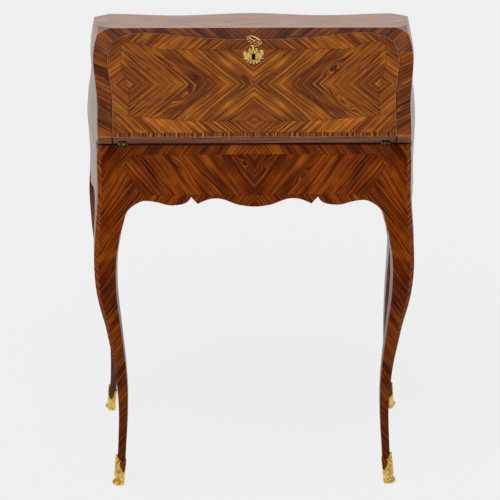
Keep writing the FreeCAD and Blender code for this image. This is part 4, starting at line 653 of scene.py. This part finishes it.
def oak_boards(m):
    """Colour and pores of oiled oak. Its rays are 1 to 2 mm wide flecks."""
    place = in_millimetres(m)
    rings = add(m, "VectorMath", {0: place, 1: (1 / 90, 1 / 5.0, 1 / 5.0)}, operation="MULTIPLY")
    rings = add(m, "TexNoise", {"Vector": rings, "Scale": 1.0, "Detail": 4.0, "Distortion": 0.4})
    flecks = add(m, "VectorMath", {0: place, 1: (1 / 22, 1 / 1.4, 1 / 1.4)}, operation="MULTIPLY")
    flecks = add(m, "TexNoise", {"Vector": flecks, "Scale": 1.0, "Detail": 2.0})
    figure = add(m, "Math", {0: flecks, 1: 0.4, 2: rings}, operation="MULTIPLY_ADD")
    colour = add(m, "ValToRGB", {0: figure}, stops=((0.50, "#6f4c25"), (0.70, "#946a38"), (0.90, "#b48a52")))
    return colour, flecks


oiled_oak = polished_veneer("oiled_oak", oak_boards)
for name in ("bed_rear", "unit_floor", "unit_shelf", "unit_back", "unit_cheeks",
             "unit_partitions", "unit_uprights", "well_front_board", "well_back_board",
             "well_side_boards", "well_bottom", "fall_stops",
             "drawer_left_sides", "drawer_left_back", "drawer_left_bottom",
             "drawer_right_sides", "drawer_right_back", "drawer_right_bottom"):
    nodes[name].data.materials[0] = oiled_oak

# Hinges and strike plate: old brass, brown with a green tinge. Lock, bolt, pins
# and screws: steel, filed and blackened.
old_brass = bare_material("old_brass")
m = old_brass
place = in_millimetres(m)
tarnish = add(m, "TexNoise", {"Vector": place, "Scale": 1 / 4, "Detail": 4.0})
colour = add(m, "ValToRGB", {0: tarnish}, stops=((0.38, "#2f2a1a"), (0.52, "#565238"), (0.68, "#8f9468")))
rough = add(m, "MapRange", {0: tarnish, 3: 0.50, 4: 0.28})
surface = add(m, "BsdfPrincipled", {"Base Color": colour, "Roughness": rough, "Metallic": 1.0})
add(m, "OutputMaterial", {"Surface": surface})
for name in ("hinge_bed_leaves", "hinge_fall_leaves", "strike_plate"):
    nodes[name].data.materials[0] = old_brass

dark_steel = bare_material("blackened_steel")
m = dark_steel
place = in_millimetres(m)
strokes = add(m, "VectorMath", {0: place, 1: (1 / 14, 1 / 1.2, 1 / 1.2)}, operation="MULTIPLY")
filed = add(m, "TexNoise", {"Vector": strokes, "Scale": 1.0, "Detail": 3.0})
colour = add(m, "ValToRGB", {0: filed}, stops=((0.35, "#3a3835"), (0.60, "#5b5854"), (0.78, "#7c7873")))
rough = add(m, "MapRange", {0: filed, 3: 0.30, 4: 0.55})
surface = add(m, "BsdfPrincipled", {"Base Color": colour, "Roughness": rough, "Metallic": 1.0})
add(m, "OutputMaterial", {"Surface": surface})
for name in ("hinge_pins", "hinge_screws_bed", "hinge_screws_fall", "lock_case",
             "lock_screws", "lock_bolt"):
    nodes[name].data.materials[0] = dark_steel

# Gilt bronze: cast, chased and fire gilt. Hollows and creases keep dark dirt and are painted darker still as
# shade, from ambient occlusion and pointiness; high places are burnished. Knobs and nails are turned from it.


def fire_gilding(name, tones):
    """Gilt bronze from its dullest to its brightest tone."""
    gilding = bare_material(name)
    m = gilding
    place = in_millimetres(m)
    matting = add(m, "TexNoise", {"Vector": place, "Scale": 1 / 1.6, "Detail": 2.0})
    shade = add(m, "TexNoise", {"Vector": place, "Scale": 1 / 7, "Detail": 2.0})
    colour = add(m, "ValToRGB", {0: shade}, stops=tuple(zip((0.30, 0.50, 0.70), tones)))
    # Dirt and painted shade: creases and hollows darken the gold, and the darkest are found by ambient
    # occlusion
    relief = add(m, "NewGeometry", {}).outputs["Pointiness"]
    relief = add(m, "MapRange", {0: relief, 1: 0.42, 2: 0.50, 3: 0.45, 4: 1.0})
    hollow_dirt_and_shade = add(m, "AmbientOcclusion", {"Distance": 3.5 * MM}, samples=8, only_local=True).outputs["AO"]
    hollow_dirt_and_shade = add(m, "MapRange", {0: hollow_dirt_and_shade, 1: 0.33, 2: 0.74, 3: 0.06, 4: 1.0})
    dirt_and_shade = add(m, "Math", {0: relief, 1: hollow_dirt_and_shade}, operation="MULTIPLY")
    colour = add(m, "VectorMath", {0: colour, "Scale": dirt_and_shade}, operation="SCALE")
    rough = add(m, "MapRange", {0: dirt_and_shade, 3: 0.45, 4: 0.20})
    bump = add(m, "Bump", {"Height": matting, "Strength": 0.12, "Distance": 0.3 * MM})
    surface = add(m, "BsdfPrincipled", {
        "Base Color": colour, "Roughness": rough, "Normal": bump, "Metallic": 1.0})
    add(m, "OutputMaterial", {"Surface": surface})
    return gilding


worn_gilding = fire_gilding("worn_fire_gilt_bronze", ("#bd9138", "#dab356", "#f0d486"))
# The escutcheon's gilding is painted brighter than the rest: painted light, for its sloping face, which
# mirrors a darker part of the studio
gilding_painted_brighter = fire_gilding("fire_gilt_bronze_painted_brighter", ("#f2c862", "#ffde84", "#ffeeb0"))
for name in ("drawer_left_knob", "drawer_right_knob", "sabot_nails"):
    nodes[name].data.materials[0] = worn_gilding


def finished_mesh(piece):
    """The mesh of a piece with its modifiers done, or of a curve with its thickness."""
    bpy.context.view_layer.update()
    return bpy.data.meshes.new_from_object(piece.evaluated_get(bpy.context.evaluated_depsgraph_get()))


def rods(strokes):
    """Modelled rolls of wax: each stroke has points and a radius at each, in metres."""
    wax = bpy.data.curves.new("wax", "CURVE")
    wax.dimensions = "3D"
    wax.bevel_depth = 1.0
    wax.bevel_resolution = 3
    wax.use_fill_caps = True
    for points, radii in strokes:
        roll = wax.splines.new("NURBS")
        roll.points.add(len(points) - 1)
        for knot, point, radius in zip(roll.points, points, radii):
            knot.co = (*point, 1.0)
            knot.radius = radius
        roll.order_u = 3
        roll.use_endpoint_u = True
        roll.resolution_u = 5
    rolls = link_piece("wax", wax)
    mesh = finished_mesh(rolls)
    bpy.data.objects.remove(rolls)
    return mesh


def cast(name, wax_meshes, grain, gilding):
    """Joins the wax forms and casts them as one skin, with no detail under the grain."""
    form = bmesh.new()
    for mesh in wax_meshes:
        form.from_mesh(mesh)
    whole = bpy.data.meshes.new(name)
    form.to_mesh(whole)
    form.free()
    piece = link_piece(name, whole)
    skin = piece.modifiers.new("skin", "REMESH")
    skin.mode = "VOXEL"
    skin.voxel_size = grain
    chased = piece.modifiers.new("chased", "SMOOTH")
    chased.factor = 0.5
    chased.iterations = 1
    mesh = finished_mesh(piece)
    bpy.data.objects.remove(piece)
    for face in mesh.polygons:
        face.use_smooth = True
    mesh.materials.clear()
    mesh.materials.append(gilding)
    return mesh


# Escutcheon: a pierced cast mount of leaves and scrolls round the keyhole, with
# a leaning pierced crest above it, pinned to the face of the fall.
# Strokes are in millimetres across the fall and up it from the hinge.
PLATE_STEP = 0.5
PLATE_THICK = 0.9
PLATE_MIDDLE = 0.35
PLATE_START = (-22.0, 158.0)
PLATE_SIZE = (44.0, 50.0)
BACK_GAP = 0.03
ROLL_LIFT = 2.1
CASTING_GRAIN = 0.36
# Ovals that make up the plate: middle across and up, half sizes, and lean in degrees
plate_forms = ((0, 182, 12.5, 15, 0), (-14.6, 182, 3.6, 9, 10), (14.4, 183, 3.6, 9, -6),
               (0.5, 172.5, 13, 8, 0))
# Rolls laid on it: the places along each, and its radius
rolls = [
    # Two side leaves with a vein each
    ([(-15.6, 189.5), (-16.6, 183), (-14.6, 175), (-12.4, 170.5)], 3.9),
    ([(-18.6, 190), (-19.4, 182), (-17, 174)], 1.3),
    ([(-14.2, 173), (-20.2, 173.6)], 1.0),
    ([(13.6, 190), (16.4, 184.5), (15.4, 178), (12.4, 172.5)], 3.3),
    ([(10.6, 192.4), (15.5, 194), (19.2, 189), (19.0, 181)], 1.2),
    ([(14.4, 174.6), (20.2, 173.6)], 1.0),
    # The crown over the keyhole, and its two long leaves beside it
    ([(-8.6, 189), (-7.8, 194), (-6.2, 197.4)], 2.4),
    ([(-0.4, 190), (-0.4, 200.5)], 2.5),
    ([(7.6, 189), (6.8, 194), (5.0, 197.4)], 2.4),
    ([(-7.0, 188), (-7.6, 180), (-6.4, 172)], 1.9),
    ([(6.8, 188), (7.4, 180), (6.4, 172)], 1.9),
    ([(-3.6, 186.6), (0, 188.4), (3.6, 186.6)], 1.3),
    ([(-4.3, 184), (-4.3, 171.6)], 0.8),
    ([(4.3, 184), (4.3, 171.6)], 0.8),
    # The fan under it
    ([(-9.0, 172), (-11.6, 165.8)], 2.0),
    ([(-4.6, 170), (-6.0, 163.4)], 2.1),
    ([(0.3, 169.4), (0.3, 162.2)], 2.1),
    ([(5.0, 170), (6.4, 163.8)], 2.1),
    ([(9.4, 172), (12.0, 167.4)], 2.0),
    # The crest, a ring that leans to the right, with leaves across it
    ([(-11.8, 217.5), (-13.0, 222.4), (-8.4, 226), (-2.6, 226.4), (3.4, 223.6), (8.6, 220.4), (13.2, 216.4),
      (16.0, 211.4), (14.4, 206.4), (10.2, 203.6), (5, 202.6)], 1.0),
    ([(5, 202.6), (-0.4, 202.0), (-4.4, 204.4)], 1.3),
    ([(-0.4, 199), (-0.4, 203.6)], 1.2),
    ([(-11.4, 218.4), (-8.0, 219.8), (-4.4, 220.2)], 1.3),
    ([(-11.0, 213.0), (-7.2, 214.4), (-3.6, 213.6)], 1.3),
    ([(-6.0, 208.6), (0.6, 212.2), (8.6, 219.0)], 1.1),
    ([(-8.6, 223.6), (-2.6, 219.4), (3.6, 213.4)], 0.9),
    ([(0.4, 205.6), (4.8, 210.6), (11.4, 214.8)], 1.1),
    ([(6.0, 206.6), (10.8, 206.8), (12.6, 210.2), (9.4, 211.6)], 1.0),
]
# Beads on the fan's ends and along the crest
for bead in ((-12.6, 165.4), (-6.4, 162.6), (0.3, 161.4), (6.8, 162.8), (12.8, 166.6)):
    rolls.append(([(bead[0], bead[1] - 0.4), (bead[0], bead[1] + 0.6)], 1.9))
for bead in ((-12.4, 221), (-8.6, 225.4), (-4.2, 226.6), (0.2, 225.4), (4.4, 223.2), (8.4, 220.6),
             (12, 217.4), (14.8, 214), (15.6, 209.6)):
    rolls.append(([(bead[0], bead[1]), (bead[0] + 0.5, bead[1] + 0.4)], 1.45))


def in_plate(x, up):
    """Whether a place is on the bronze plate behind the leaves."""
    if abs(x) < KEY_HALF and KEY_FOOT < up < KEY_HEAD:
        return False
    for cx, cu, half_x, half_u, lean in plate_forms:
        c, s = math.cos(math.radians(lean)), math.sin(math.radians(lean))
        dx, du = x - cx, up - cu
        if ((dx * c + du * s) / half_x) ** 2 + ((du * c - dx * s) / half_u) ** 2 < 1:
            return True
    return False


plate_form = bmesh.new()
columns, rows = (int(length / PLATE_STEP) for length in PLATE_SIZE)
turn = Matrix.Rotation(SLOPE, 4, "X")
# Each little block laps its neighbours by a fiftieth, so that the skin closes over them
size = Matrix.Diagonal((PLATE_STEP * 1.02 * MM, PLATE_STEP * 1.02 * MM, PLATE_THICK * MM, 1))
for i in range(columns):
    for j in range(rows):
        x = PLATE_START[0] + (i + 0.5) * PLATE_STEP
        up = PLATE_START[1] + (j + 0.5) * PLATE_STEP
        if in_plate(x, up):
            middle = on_fall(x, up, FALL_THICK + PLATE_MIDDLE)
            bmesh.ops.create_cube(plate_form, size=1, matrix=Matrix.Translation(middle) @ turn @ size)
plate_mesh = bpy.data.meshes.new("plate")
plate_form.to_mesh(plate_mesh)
plate_form.free()
strokes = []
for points, radius in rolls:
    lift = FALL_THICK + ROLL_LIFT - radius / 2
    strokes.append(([on_fall(x, up, lift) for x, up in points], [radius * MM] * len(points)))
escutcheon_mesh = cast("cast_escutcheon", [plate_mesh, rods(strokes)], CASTING_GRAIN * MM,
                       gilding_painted_brighter)
# What the skin adds behind the plate is pressed flat against the fall
fall_face = on_fall(0, 0, FALL_THICK + BACK_GAP)
for vertex in escutcheon_mesh.vertices:
    behind = (vertex.co - fall_face).dot(face_out)
    if behind < 0:
        vertex.co -= face_out * behind
escutcheon = link_piece("cast_escutcheon", escutcheon_mesh)
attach(escutcheon, "fall")
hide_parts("escutcheon")

# Shoes: cast bronze socks on the feet. A lobed leaf climbs the outer arris, a
# tab the inner face, and the toe curls into a scroll. Nailed to the legs.
# How high the bronze climbs, in millimetres, by degrees round the foot from the leaf's middle
LEAF_EDGE = ((0, 66), (14, 65.5), (20, 61), (30, 62), (38, 54), (50, 55.5), (56, 48), (64, 43), (76, 37),
             (92, 33), (118, 31), (136, 38), (147, 54), (162, 54), (180, 44))
# The veins of the leaf: places by degrees and height, how far out each lies, and the radius
LEAF_STROKES = [
    ([(0, 22), (0, 38), (0, 54), (0, 67)], (2.8, 3.2, 3.6, 3.8), 1.4),
    ([(4, 55), (10, 62), (14, 66)], (3.2, 3.4, 3.0), 1.6),
    ([(12, 51), (24, 57), (36, 61)], (2.8, 2.8, 2.4), 1.7),
    ([(20, 45), (38, 50), (62, 54.5)], (2.8, 2.8, 2.6), 1.8),
    ([(36, 53), (50, 45), (64, 41), (80, 35.5), (98, 30.5), (120, 28)], (1.4, 1.8, 2.2, 2.2, 2.0, 1.6), 1.3),
    ([(30, 42), (32, 32), (42, 23), (60, 15)], (2.0, 1.8, 1.6, 1.4), 1.1),
]
SHOE_WALL = 1.5
LEAF_RIDGE = 1.7
RIDGE_SPREAD = 26
RIDGE_RISE = 30
LEAF_LIP = 0.7
LIP_HEIGHT = 1.5
SOLE_EASE = 5
WOOD_GAP = 0.05
SHOE_GRAIN = 0.55
WOOD_FOOT = 5.0
SECTION_HEIGHTS = (8, 20, 32, 44, 56, 68, 80)
TOE_RADIUS = 6.4
TOE_HALF = 5.6
TOE_LOBES = (-4.6, -1.5, 1.5, 4.6)
SCROLL_STEPS = 13
ROUND_STEPS = 120
RISE_STEPS = 60


def between(table, value):
    """A value read between the entries of a table."""
    for (x0, y0), (x1, y1) in zip(table, table[1:]):
        if value <= x1:
            t = (value - x0) / (x1 - x0)
            return y0 + (y1 - y0) * t
    return table[-1][1]


def leg_middle(leg, height):
    """The middle of a leg's section at a height, in metres."""
    cut = []
    verts = leg.data.vertices
    for edge in leg.data.edges:
        a, b = (verts[i].co for i in edge.vertices)
        if (a.z - height) * (b.z - height) < 0:
            cut.append(a.lerp(b, (height - a.z) / (b.z - a.z)))
    low = Vector([min(p[i] for p in cut) for i in range(3)])
    high = Vector([max(p[i] for p in cut) for i in range(3)])
    return (low + high) / 2


def shoe_shell(on_foot, foot_middle):
    """The bronze wall of a shoe, in metres, inside and out, closed over and under the wood."""
    form = bmesh.new()
    outer, inner = [], []
    for i in range(ROUND_STEPS):
        turn = (360 * i / ROUND_STEPS + 180) % 360 - 180
        off = abs(turn)
        edge = between(LEAF_EDGE, off)
        outer_line, inner_line = [], []
        for j in range(RISE_STEPS + 1):
            h = edge * j / RISE_STEPS
            proud = SHOE_WALL + LEAF_RIDGE * math.exp(-(off / RIDGE_SPREAD) ** 2) * min(1, h / RIDGE_RISE)
            proud += LEAF_LIP * math.exp(-((edge - h) / LIP_HEIGHT) ** 2)
            proud -= 0.5 * max(0, SOLE_EASE - h)
            outer_line.append(form.verts.new(on_foot(turn, h, proud)))
            if h > WOOD_FOOT:
                inner_line.append(form.verts.new(on_foot(turn, h, WOOD_GAP)))
        outer.append(outer_line)
        inner.append(inner_line[::-1])
    sole = form.verts.new((foot_middle.x, foot_middle.y, 0))
    insole = form.verts.new((foot_middle.x, foot_middle.y, WOOD_FOOT * MM))
    for i in range(ROUND_STEPS):
        k = (i + 1) % ROUND_STEPS
        a, b = outer[i], outer[k]
        for j in range(RISE_STEPS):
            form.faces.new((a[j], b[j], b[j + 1], a[j + 1]))
        form.faces.new((sole, b[0], a[0]))
        a, b = inner[i], inner[k]
        form.faces.new((outer[i][-1], outer[k][-1], b[0], a[0]))
        short = min(len(a), len(b)) - 1
        for j in range(short):
            form.faces.new((a[j], b[j], b[j + 1], a[j + 1]))
        tail_a, tail_b = a[short:], b[short:]
        if len(tail_a) + len(tail_b) > 2:
            form.faces.new(tail_a[::-1] + tail_b)
        form.faces.new((a[-1], b[-1], insole))
    bmesh.ops.recalc_face_normals(form, faces=form.faces[:])
    shell = bpy.data.meshes.new("shell")
    form.to_mesh(shell)
    form.free()
    return shell


def shoe_mesh(leg, toe_place, toe_way, leaf_way):
    """One shoe, in metres, round a leg's foot."""
    foot = bmesh.new()
    foot.from_mesh(leg.data)
    wood = BVHTree.FromBMesh(foot)
    foot.free()
    heights = [h * MM for h in SECTION_HEIGHTS]
    middles = [leg_middle(leg, h) for h in heights]
    table_x = [(h, p.x) for h, p in zip(heights, middles)]
    table_y = [(h, p.y) for h, p in zip(heights, middles)]

    def on_foot(turn, height, proud):
        """A place on the foot: degrees round it, height and how far out, in millimetres."""
        angle = math.atan2(leaf_way.y, leaf_way.x) + math.radians(turn)
        way = Vector((math.cos(angle), math.sin(angle), 0))
        level = max(height, WOOD_FOOT + 1.5) * MM
        row = max(level, heights[0])
        axis = Vector((between(table_x, row), between(table_y, row), level))
        wood_out = wood.ray_cast(axis, way)[3]
        axis.z = height * MM
        return axis + way * (wood_out + proud * MM)

    shell = shoe_shell(on_foot, middles[0])
    # The toe: a roll across the foot with lobes round it, a scroll at each end and a boss above
    across = Vector((-toe_way.y, toe_way.x, 0))
    lift = Vector((0, 0, 1))

    def toe(s, degrees, r):
        """A place on the toe: along its roll, degrees round it and how far out, in millimetres."""
        a = math.radians(degrees)
        return toe_place + (across * s + (toe_way * math.cos(a) + lift * math.sin(a)) * r) * MM

    strokes = [([toe(s, 0, 0) for s in (-TOE_HALF, 0, TOE_HALF)], [TOE_RADIUS * MM] * 3),
               ([toe(0, 96, 6.6), toe(0, 90, 8.4)], [2.3 * MM] * 2)]
    for s in TOE_LOBES:
        strokes.append(([toe(s * 0.7, 52, TOE_RADIUS - 0.8), toe(s, 20, TOE_RADIUS), toe(s, -20, TOE_RADIUS),
                         toe(s * 0.8, -60, TOE_RADIUS - 0.6)], [r * MM for r in (1.2, 1.9, 1.9, 1.4)]))
    for side in (-1, 1):
        scroll = [toe(side * (TOE_HALF + 0.6), 100 - step * 40, TOE_RADIUS - 0.4 - step * 0.4)
                  for step in range(SCROLL_STEPS)]
        strokes.append((scroll, [(1.5 - step * 0.04) * MM for step in range(SCROLL_STEPS)]))
        strokes.append(([toe(side * TOE_HALF, 0, 0), toe(side * (TOE_HALF + 1.8), 0, 0)], [1.7 * MM] * 2))
        for line, proud, radius in LEAF_STROKES:
            strokes.append(([on_foot(side * off, h, out) for (off, h), out in zip(line, proud)],
                            [radius * MM] * len(line)))
    mesh = cast("cast_shoe", [shell, rods(strokes)], SHOE_GRAIN * MM, worn_gilding)
    for vertex in mesh.vertices:
        vertex.co.z = max(vertex.co.z, 0.0)
    return mesh


for end, leg_name, toe_at, toe_way, leaf_way in (
        ("front", "front_leg_left", (-282.2, -187.6, 8.4), (-1, -1, 0), (-1, -0.45, 0)),
        ("rear", "rear_leg_left", (-331.2, 203.5, 8.4), (-1, 1, 0), (-1, 0.45, 0))):
    mesh = shoe_mesh(nodes[leg_name], Vector(toe_at) * MM, Vector(toe_way).normalized(),
                     Vector(leaf_way).normalized())
    mesh.name = f"cast_shoe_{end}"
    for hand, mirror in (("left", 1), ("right", -1)):
        shoe = mesh if mirror == 1 else mesh.copy()
        if mirror == -1:
            shoe.transform(Matrix.Diagonal((-1, 1, 1, 1)))
            shoe.flip_normals()
        piece = link_piece(f"cast_shoe_{end}_{hand}", shoe)
        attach(piece, "carcass")
        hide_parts(f"sabot_{end}_{hand}")

# Floor, light and camera: matt paper under the desk, a broad soft light high in
# front, a pale studio behind, and a dim room behind the photographer.
BACKGROUND = "#f0f0f0"
SHADOW_SHARE = 0.08
FLOOR_HALF = 15.0
FLOOR_MIDDLE = 13.6
# The way to the lamp beside the camera, and the turn and spread of the high soft light in degrees
LAMP_WAY = (-0.45, -0.74, 0.50)
LIGHT_TURN = (38, -12, 0)
LIGHT_SPREAD = 60
LIGHT_STRENGTH = 2.5
# The place, the dip and the turn of the camera are those of the photographer
CAMERA_PLACE = (-0.050527, -2.594218, 1.241)
CAMERA_DIP = 16.98
CAMERA_TURN = -1.0
LENS = 93.0
SENSOR = 36.0

floor_mesh = bpy.data.meshes.new("floor")
floor_form = bmesh.new()
bmesh.ops.create_grid(floor_form, x_segments=1, y_segments=1, size=FLOOR_HALF,
                      matrix=Matrix.Translation((0, FLOOR_MIDDLE, 0)))
floor_form.to_mesh(floor_mesh)
floor_form.free()
floor = link_piece("floor", floor_mesh)
floor_paper = bare_material("matt_floor_paper")
m = floor_paper
paper = add(m, "BsdfDiffuse", {"Color": linear(BACKGROUND)})
pale = add(m, "Emission", {"Color": linear(BACKGROUND), "Strength": 1.0})
lit = add(m, "MixShader", {0: SHADOW_SHARE, 1: pale, 2: paper})
ray = add(m, "LightPath", {})
seen = add(m, "Math", {0: ray.outputs["Is Camera Ray"], 1: ray.outputs["Is Glossy Ray"]}, operation="MAXIMUM")
seen = add(m, "Math", {0: seen, 1: ray.outputs["Is Transmission Ray"]}, operation="MAXIMUM")
floor_surface = add(m, "MixShader", {0: seen, 1: paper, 2: lit})
add(m, "OutputMaterial", {"Surface": floor_surface})
floor_mesh.materials.append(floor_paper)

world = bpy.data.worlds.new("studio")
bpy.context.scene.world = world
world.use_nodes = True
world.node_tree.nodes.clear()
direction = add(world, "TexCoord", {})
split = add(world, "SeparateXYZ", {0: direction.outputs["Generated"]})
behind = add(world, "MapRange", {0: split.outputs[1], 1: -0.1, 2: 0.8, 3: 0.24, 4: 1.10})
overhead = add(world, "MapRange", {0: split.outputs[2], 1: 0.60, 2: 0.92, 3: 0.0, 4: 0.75})
brightness = add(world, "Math", {0: behind, 1: overhead}, operation="MAXIMUM")
# A lamp beside the camera, which only polished metal and rounded edges show
beside = add(world, "VectorMath", {0: direction.outputs["Generated"], 1: LAMP_WAY},
             operation="DOT_PRODUCT")
beside = add(world, "MapRange", {0: beside.outputs[1], 1: 0.93, 2: 0.98, 3: 0.0, 4: 5.0})
brightness = add(world, "Math", {0: brightness, 1: beside}, operation="MAXIMUM")
mirrored_studio = add(world, "Background", {"Color": linear("#fff2e8"), "Strength": brightness})
pale = add(world, "Background", {"Color": linear(BACKGROUND), "Strength": 1.0})
soft = add(world, "Background", {"Color": linear("#ffffff"), "Strength": 0.30})
ray = add(world, "LightPath", {})
seen = add(world, "Math", {0: ray.outputs["Is Camera Ray"], 1: ray.outputs["Is Transmission Ray"]},
           operation="MAXIMUM")
studio = add(world, "MixShader", {0: ray.outputs["Is Glossy Ray"], 1: soft, 2: mirrored_studio})
studio = add(world, "MixShader", {0: seen, 1: studio, 2: pale})
add(world, "OutputWorld", {"Surface": studio})

lamp = bpy.data.lights.new("high_soft_light", "SUN")
lamp.energy = LIGHT_STRENGTH
lamp.angle = math.radians(LIGHT_SPREAD)
light = link_piece("high_soft_light", lamp)
light.rotation_euler = [math.radians(a) for a in LIGHT_TURN]
light.visible_glossy = False

lens = bpy.data.cameras.new("camera")
lens.lens = LENS
lens.sensor_width = SENSOR
camera = link_piece("camera", lens)
camera.location = CAMERA_PLACE
camera.rotation_euler = (math.radians(90 - CAMERA_DIP), 0, math.radians(CAMERA_TURN))
bpy.context.scene.camera = camera
bpy.context.scene.view_settings.view_transform = "Standard"
